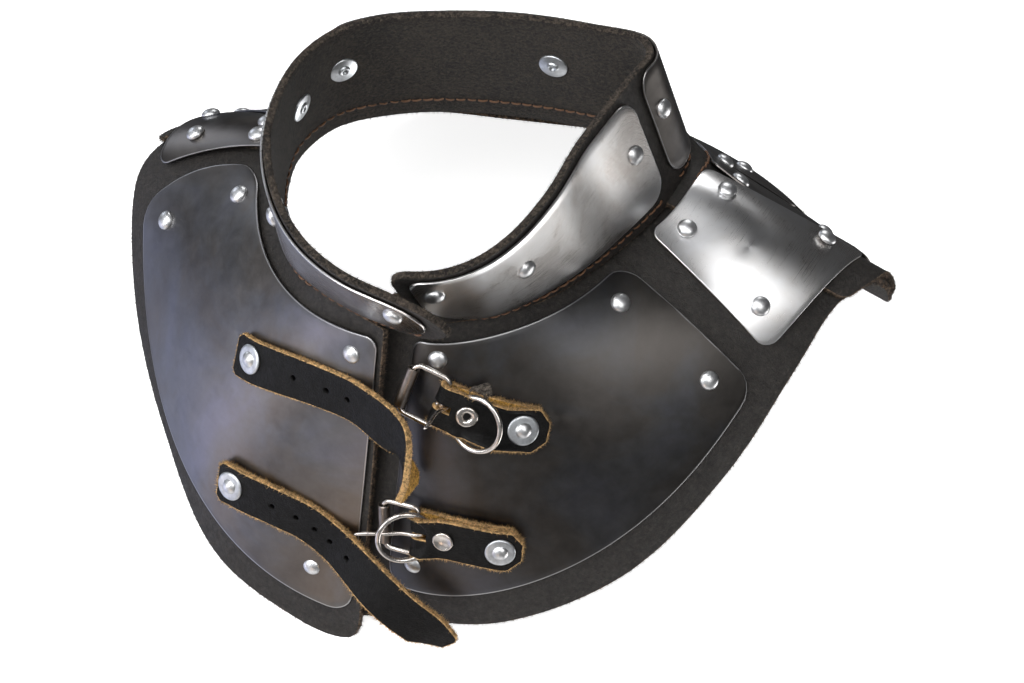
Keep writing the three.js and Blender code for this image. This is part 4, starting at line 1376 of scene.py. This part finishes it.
def packing_scrap(mats):
    """Torn bit of leather caught under the upper buckle strap."""
    grid = patch_grid(mantle, 1.03, 1.24, 0.165, 0.24, 12, 10, [2, 1.2, 1, 1])
    low = 4.6 + 0.5 * np.sin(grid[0] * 60) * np.cos(grid[1] * 90)
    return shell("strap_scrap", mantle, grid, low, low + 1.3, mats, radius=0.3, rows=2, fuzz=0.35, seed=75)


TUBE_HEAD = [(1.5, 0.1), (2.0, 0.75), (2.8, 1.1), (3.8, 1.05), (4.5, 0.6), (4.5, -0.5), (1.5, -0.5), (1.5, 0.1)]
TUBE_PLUG = [(0.0, -0.25), (1.9, -0.25), (1.9, -0.6), (0.0, -0.6)]
FLAT_HEAD = [(0.0, 1.0), (3.3, 1.0), (3.55, 1.25), (4.0, 1.2), (4.3, 0.7), (4.3, -0.5), (0.0, -0.5)]
FOLD_RIVETS = {
    # parts as profile, sides and material, then the materials
    "upper": ([(TUBE_HEAD, 40, 0), (TUBE_PLUG, 24, 1)], ["nickel", "roller"]),
    "lower": ([(FLAT_HEAD, 48, 0)], ["nickel"]),
}


class GORGET_OT_buckle_straps(bpy.types.Operator):
    """Add the folded straps that hold the buckles, and the rivets of the folds"""
    bl_idname = "gorget.buckle_straps"
    bl_label = "Buckle straps"

    def execute(self, context):
        f = finishes()
        mats = [f["strap"], f["strap_back"], f["tan_edge"]]
        for k, (label, level) in enumerate(LEVELS.items()):
            name = f"buckle_strap_{label}_leather"
            strap, place, sheet = folded_strap(name, level, mats, 71 + k)
            slot = box_cutter((10.0, 3.4, 14.0), (0.6, 0, 0), place, [f["tan_edge"]])
            whole = with_fuzz(strap, f["tan_edge"], 71 + k, 1.6, 1.2, [slot])
            finish(whole, [f"buckle_strap_{label}"])
            spot = frame_at(sheet, level["rivet"], 0.5, 2.75)
            parts, metals = FOLD_RIVETS[label]
            head = solid_object(f"fold_rivet_{label}", [(*turned(line, sides), mat) for line, sides, mat in parts],
                                spot, [f[metal] for metal in metals])
            finish(head, [f"rivet_fold_{label}"])
        scrap = with_fuzz(packing_scrap([f["scrap"]]), f["scrap"], FIBRE_SEED, 1.0)
        finish(scrap, [])
        return {"FINISHED"}


def smooth_path(points, count):
    return Row(points).at(np.linspace(0, len(points) - 1, count))


def frame_wire():
    """Closed rectangle of wire with rounded corners, bar at x = 0."""
    r = 3.2
    far, side = FRAME_L - r, FRAME_W / 2 - r
    points = []
    for cx, cy, start in ((far, side, 0), (r, side, 90), (r, -side, 180), (far, -side, 270)):
        for a in np.radians(np.linspace(start, start + 90, 9)):
            points.append((cx + r * math.cos(a), cy + r * math.sin(a), 0))
    return np.array(points)


def roller_parts():
    """Rolled tube with an open seam, turned about y."""
    inner, half, gap = 1.55, 8.95, math.radians(5)
    arc = np.linspace(gap, 2 * math.pi - gap, 41)
    section = [(ROLLER_R * math.cos(a), ROLLER_R * math.sin(a)) for a in arc]
    section += [(inner * math.cos(a), inner * math.sin(a)) for a in arc[::-1]]
    section = np.array(section)
    centre = section / np.linalg.norm(section, axis=1, keepdims=True)
    verts, faces = [], []
    bevel = 0.25
    stops = [(-half, bevel), (-half + bevel, 0.0), (half - bevel, 0.0), (half, bevel)]
    n = len(section)
    for y, shrink in stops:
        size = np.where(np.arange(n) < n // 2, -shrink, shrink)[:, None]
        ring = section + centre * size
        verts += [(x, y, z) for x, z in ring]
    for k in range(len(stops) - 1):
        for i in range(n):
            j = (i + 1) % n
            faces.append((k * n + i, k * n + j, (k + 1) * n + j, (k + 1) * n + i))
    h = n // 2
    for base in (0, (len(stops) - 1) * n):
        for i in range(h - 1):
            faces.append((base + i, base + i + 1, base + n - 2 - i, base + n - 1 - i))
    return np.array(verts, float), faces


def prong_path(length):
    """Middle of the prong: curled round the bar, then out over the roller."""
    r = 2.3
    turn = [(r * math.cos(a), 0, r * math.sin(a)) for a in np.radians(np.linspace(-35, -262, 26))]
    pin = [(2.2, 0.1, 2.1), (4.5, 0.15, 1.1), (7.5, 0.1, 0.35), (length * 0.5, 0.35, 0.15),
           (length * 0.75, -0.25, 0.3), (length, 0, 0.1)]
    lead = smooth_path([turn[-1]] + pin, 40)[1:]
    return np.array(turn + [tuple(p) for p in lead])


class GORGET_OT_buckles(bpy.types.Operator):
    """Add the wire buckles: frames, rollers, prongs and keeper rings"""
    bl_idname = "gorget.buckles"
    bl_label = "Buckles"

    def execute(self, context):
        f = finishes()
        for label, level in LEVELS.items():
            place = buckle_axes(level["spots"])
            roller, seams = roller_parts()
            path = about_y(prong_path(level["prong"]), -level["rise"])
            ends = np.ones(len(path))
            ends[-5:] = [0.97, 0.9, 0.8, 0.66, 0.4]
            pieces = (
                ("frame_wire", tube(frame_wire(), WIRE_R, 16, closed=True), "nickel", "buckle_frame", "frame"),
                ("roller_tube", (roller + [FRAME_L, 0, 0], seams), "roller", "buckle_roller", "roller"),
                ("prong_wire", tube(path, PRONG_R, 14, taper=ends), "nickel", "buckle_prong", "prong"),
                ("ring_wire", tube(ring_path(level), RING_WIRE, 16, closed=True), "nickel", "keeper_ring", None),
            )
            for name, shape, metal, node, body in pieces:
                piece = solid_object(f"{name}_{label}", [(*shape, 0)], place, [f[metal]])
                if body == "roller":
                    sharpen(piece)
                finish(piece, [f"{node}_{label}"], f"{label}_{body}" if body else "root")
        return {"FINISHED"}


# ---- stitches ----------------------------------------------------------------------


def stitch_line(sheet, spots, lift, pitch):
    """Matrices at even steps along a line of (u, v), x along the line."""
    uv = smooth_path([(u, v, 0) for u, v in spots], 600)
    p = sheet.at(uv[:, 0], uv[:, 1], lift)
    s = lengths(p)
    out = []
    for d in np.arange(pitch / 2, s[-1], pitch):
        u, v = np.interp(d, s, uv[:, 0]), np.interp(d, s, uv[:, 1])
        ahead = np.array([np.interp(d + 0.3, s, p[:, k]) - np.interp(d - 0.3, s, p[:, k]) for k in range(3)])
        out.append(axes_at(sheet.at(u, v, lift), sheet.normal(u, v), ahead))
    return out


SEAMS = [
    (collar, [(3.0, 0.84), (6, 0.85), (10, 0.86), (14, 0.86), (17.5, 0.85)], 1.5, -1),
    (collar, [(14.9, 0.93), (17, 0.93), (19, 0.92), (21, 0.9), (22.4, 0.86)], 1.55, 1),
    (collar, [(7.2, 0.94), (9, 0.94), (11, 0.94), (13.9, 0.94)], 1.55, 1),
    (collar, [(1.2, 0.94), (3, 0.94), (5, 0.94), (6.4, 0.94)], 1.55, 1),
    (mantle, [(13.0, 0.045), (13.6, 0.04), (14.2, 0.04), (14.85, 0.045)], 3.3, 1),
    (mantle, [(5.25, 0.05), (6.0, 0.04), (7.1, 0.05)], 3.3, 1),
]


class GORGET_OT_stitches(bpy.types.Operator):
    """Add the thread that sews the collar and shoulder strips down"""
    bl_idname = "gorget.stitches"
    bl_label = "Stitches"

    def execute(self, context):
        f = finishes()
        pitch = settings().stitch_pitch * METRE
        near, far = pitch * 0.33, pitch * 0.4
        path = [(-far, 0, -0.6), (-near, 0, 0.15), (0, 0, 0.5), (near, 0, 0.15), (far, 0, -0.6)]
        stitch = seed_object("stitch_pattern", *tube(smooth_path(path, 9), 0.42, 6))
        spots = []
        for sheet, line, lift, side in SEAMS:
            for m in stitch_line(sheet, line, lift * side, pitch):
                if side < 0:
                    m[:3, 1:3] = -m[:3, 1:3]
                spots.append(m)
        sewn = copies_at("seam_thread", spots, stitch, f["thread"], Turn=0.2, Lean=0.12, Seed=12,
                         **{"Size spread": 0.16})
        finish(sewn, [])
        # dark discs at the stitch holes paint the shade inside the holes: painted shade
        hole = seed_object("hole_pattern", *turned([(0.0, 0.06), (0.5, 0.05), (0.75, -0.3), (0.0, -0.3)], 10))
        hole_shade_spots = []
        for m in spots:
            pit = m.copy()
            pit[:3, 3] += m[:3, 0] * pitch * 0.5
            hole_shade_spots.append(pit)
        holes = copies_at("seam_holes", hole_shade_spots, hole, f["hole"], Seed=13)
        finish(holes, [])
        drop(stitch, hole)
        return {"FINISHED"}


# ---- stage -------------------------------------------------------------------------


def soft_box(name, place, target, size, power, colour):
    light = bpy.data.lights.new(name, "AREA")
    light.shape, light.size, light.size_y = "RECTANGLE", size[0], size[1]
    light.energy, light.color = power, colour
    obj = shown(name, light)
    obj.location = place
    obj.rotation_euler = (Vector(target) - Vector(place)).to_track_quat("-Z", "Y").to_euler()
    obj.visible_camera = False


WALL_SIDES = 64
CAMERA_LENS, CAMERA_SENSOR = 109.86, 36.0
CAMERA_TILT, CAMERA_SWING = math.radians(42), math.radians(24)
CAMERA_RIGHT, CAMERA_UP, CAMERA_BACK = 47.2, 4.2, 1250   # millimetres from the working frame's middle
SKY = (0.06, 0.06, 0.062)
LIGHTS = [
    # name, place, target, size, power, colour
    ("key_left", (-1.3, -1.6, 1.5), (0, 0, 0.08), (0.9, 1.2), 20, (1, 1, 1)),
    ("fill_right", (1.05, -0.5, 1.6), (0.08, 0, 0.1), (0.65, 1.3), 10, (1, 0.99, 0.98)),
    ("top_sheet", (-0.35, -0.5, 2.0), (0, 0, 0.08), (1.3, 0.9), 22, (1, 1, 1)),
    ("rear_sheet", (-0.35, 1.9, 0.95), (0, 0, 0.1), (0.9, 0.7), 9, (1, 1, 1)),
]
# soft glows of the studio: direction, cosine where each starts, cosine where it is full, colour
GLOWS = [
    ((0.66, 0.09, -0.745), 0.89, 0.985, (4.3, 4.25, 4.2)),
    ((-0.5, -0.4, 0.77), 0.35, 0.95, (0.42, 0.43, 0.45)),
    ((-0.33, -0.94, -0.05), 0.96, 0.998, (0.75, 0.7, 0.7)),
    ((-0.78, -0.61, -0.1), 0.98, 0.998, (1.4, 1.12, 1.0)),
    ((-0.8, -0.42, -0.42), 0.78, 0.97, (0.66, 0.71, 0.95)),
    ((-0.87, 0.48, 0.1), 0.955, 0.995, (1.5, 1.6, 1.8)),
    ((0.02, -0.99, -0.03), 0.985, 0.9995, (2.2, 1.6, 1.2)),
    ((0.05, -0.72, -0.68), 0.75, 0.97, (0.95, 0.93, 0.92)),
    ((0.6, -0.72, 0.2), 0.6, 0.98, (0.16, 0.16, 0.16)),
]


def floor_finish(t, shader):
    """Pale studio floor that glows softly round the piece."""
    where = t.node("ShaderNodeTexCoord").outputs["Object"]
    away = t.node("ShaderNodeVectorMath", {0: where}, operation="LENGTH").outputs["Value"]
    shade = t.noise(where, 3.0, 3)
    t.link(t.mix(shade, (0.86, 0.86, 0.86), (0.9, 0.9, 0.9)), shader.inputs["Base Color"])
    near, far = t.grey(away, 0.4, 1.0, 0.85, 0.0), t.grey(away, 1.0, 2.5, 0.0, 1.0)
    t.link(t.math("ADD", near, far), shader.inputs["Emission Strength"])


def wall_finish(t, shader):
    """White paper round the floor, out of reach of every reflection."""
    shade = t.noise(t.node("ShaderNodeTexCoord").outputs["Object"], 1.0, 3)
    t.link(t.mix(shade, (0.88, 0.88, 0.88), (0.9, 0.9, 0.9)), shader.inputs["Base Color"])


def studio_room(radius):
    """Round floor, with a wall of the same height round it."""
    n = WALL_SIDES
    angles = np.linspace(0, 2 * math.pi, n, endpoint=False)
    ring = [(radius * math.cos(a), radius * math.sin(a), 0) for a in angles]
    high = [(x, y, radius) for x, y, _ in ring]
    white = (1, 1, 1, 1)
    mat = material("studio_floor", floor_finish, Roughness=0.9, Emission_Color=white)
    floor = mesh_object("studio_floor", ring, [tuple(range(n))], [mat])
    mat = material("studio_wall", wall_finish, Roughness=0.9, Emission_Color=white, Emission_Strength=1.0)
    sides = [(k, (k + 1) % n, n + (k + 1) % n, n + k) for k in range(n)]
    wall = mesh_object("studio_wall", ring + high, sides, [mat])
    floor.visible_glossy = False
    wall.visible_glossy = wall.visible_diffuse = wall.visible_shadow = False


def studio_world():
    """Dim grey sky with the soft glows added to it."""
    world_bg = bpy.data.worlds.new("studio")
    world_bg.use_nodes = True
    t = Tree(world_bg.node_tree)
    back = world_bg.node_tree.nodes["Background"]
    way = t.out("ShaderNodeTexCoord", socket="Generated")
    sky = SKY
    for aim, wide, tight, glow in GLOWS:
        near = t.out("ShaderNodeVectorMath", {0: way, 1: unit(np.array(aim)).tolist()}, "Value",
                     operation="DOT_PRODUCT")
        fade = t.out("ShaderNodeMapRange", {0: near, 1: wide, 2: tight}, interpolation_type="SMOOTHSTEP")
        sky = t.mix(1.0, sky, t.mix(fade, (0, 0, 0), glow), "ADD")
    t.link(sky, back.inputs[0])
    back.inputs[1].default_value = 1.0
    return world_bg


def front_camera():
    """Camera in front of the open side, held by the working frame."""
    level, slope = math.cos(CAMERA_TILT), math.sin(CAMERA_TILT)
    right = np.array([math.cos(CAMERA_SWING), math.sin(CAMERA_SWING), 0])
    behind = np.array([math.sin(CAMERA_SWING) * level, -math.cos(CAMERA_SWING) * level, slope])
    up = np.cross(behind, right)
    camera = bpy.data.cameras.new("camera")
    camera.sensor_width, camera.lens, camera.clip_end = CAMERA_SENSOR, CAMERA_LENS, 100
    pose = Matrix([list(a) for a in heading(np.stack([right, up, behind]))]).transposed().to_4x4()
    pose.translation = Vector(world(CAMERA_RIGHT * right + CAMERA_UP * up + CAMERA_BACK * behind))
    obj = shown("camera", camera)
    obj.matrix_world = pose
    return obj


class GORGET_OT_stage(bpy.types.Operator):
    """Add the floor, the lights, the world and the camera"""
    bl_idname = "gorget.stage"
    bl_label = "Stage"

    def execute(self, context):
        studio_room(settings().floor_radius)
        context.scene.world = studio_world()
        for light in LIGHTS:
            soft_box(*light)
        context.scene.camera = front_camera()
        context.scene.view_settings.view_transform = "Standard"
        return {"FINISHED"}


# ---- panel and registration ----------------------------------------------------------

OPERATORS = (
    GORGET_OT_collar_leather, GORGET_OT_flap_leather, GORGET_OT_collar_plates, GORGET_OT_flap_plates,
    GORGET_OT_shoulders, GORGET_OT_dome_rivets, GORGET_OT_washer_rivets, GORGET_OT_long_straps,
    GORGET_OT_buckle_straps, GORGET_OT_buckles, GORGET_OT_stitches, GORGET_OT_stage,
)


class GORGET_PT_panel(bpy.types.Panel):
    """Lists the pieces of the gorget"""
    bl_label = "Gorget"
    bl_idname = "GORGET_PT_panel"
    bl_space_type = "VIEW_3D"
    bl_region_type = "UI"
    bl_category = "Gorget"

    def draw(self, context):
        column = self.layout.column()
        for key in GorgetSettings.__annotations__:
            column.prop(settings(), key)
        for operator in OPERATORS:
            column.operator(operator.bl_idname)


CLASSES = (GorgetSettings, *OPERATORS, GORGET_PT_panel)


def register():
    for cls in CLASSES:
        bpy.utils.register_class(cls)
    bpy.types.Scene.gorget = bpy.props.PointerProperty(type=GorgetSettings)


def unregister():
    del bpy.types.Scene.gorget
    for cls in reversed(CLASSES):
        bpy.utils.unregister_class(cls)


def main():
    register()
    for operator in OPERATORS:
        group, name = operator.bl_idname.split(".")
        getattr(getattr(bpy.ops, group), name)()


if __name__ == "__main__":
    main()
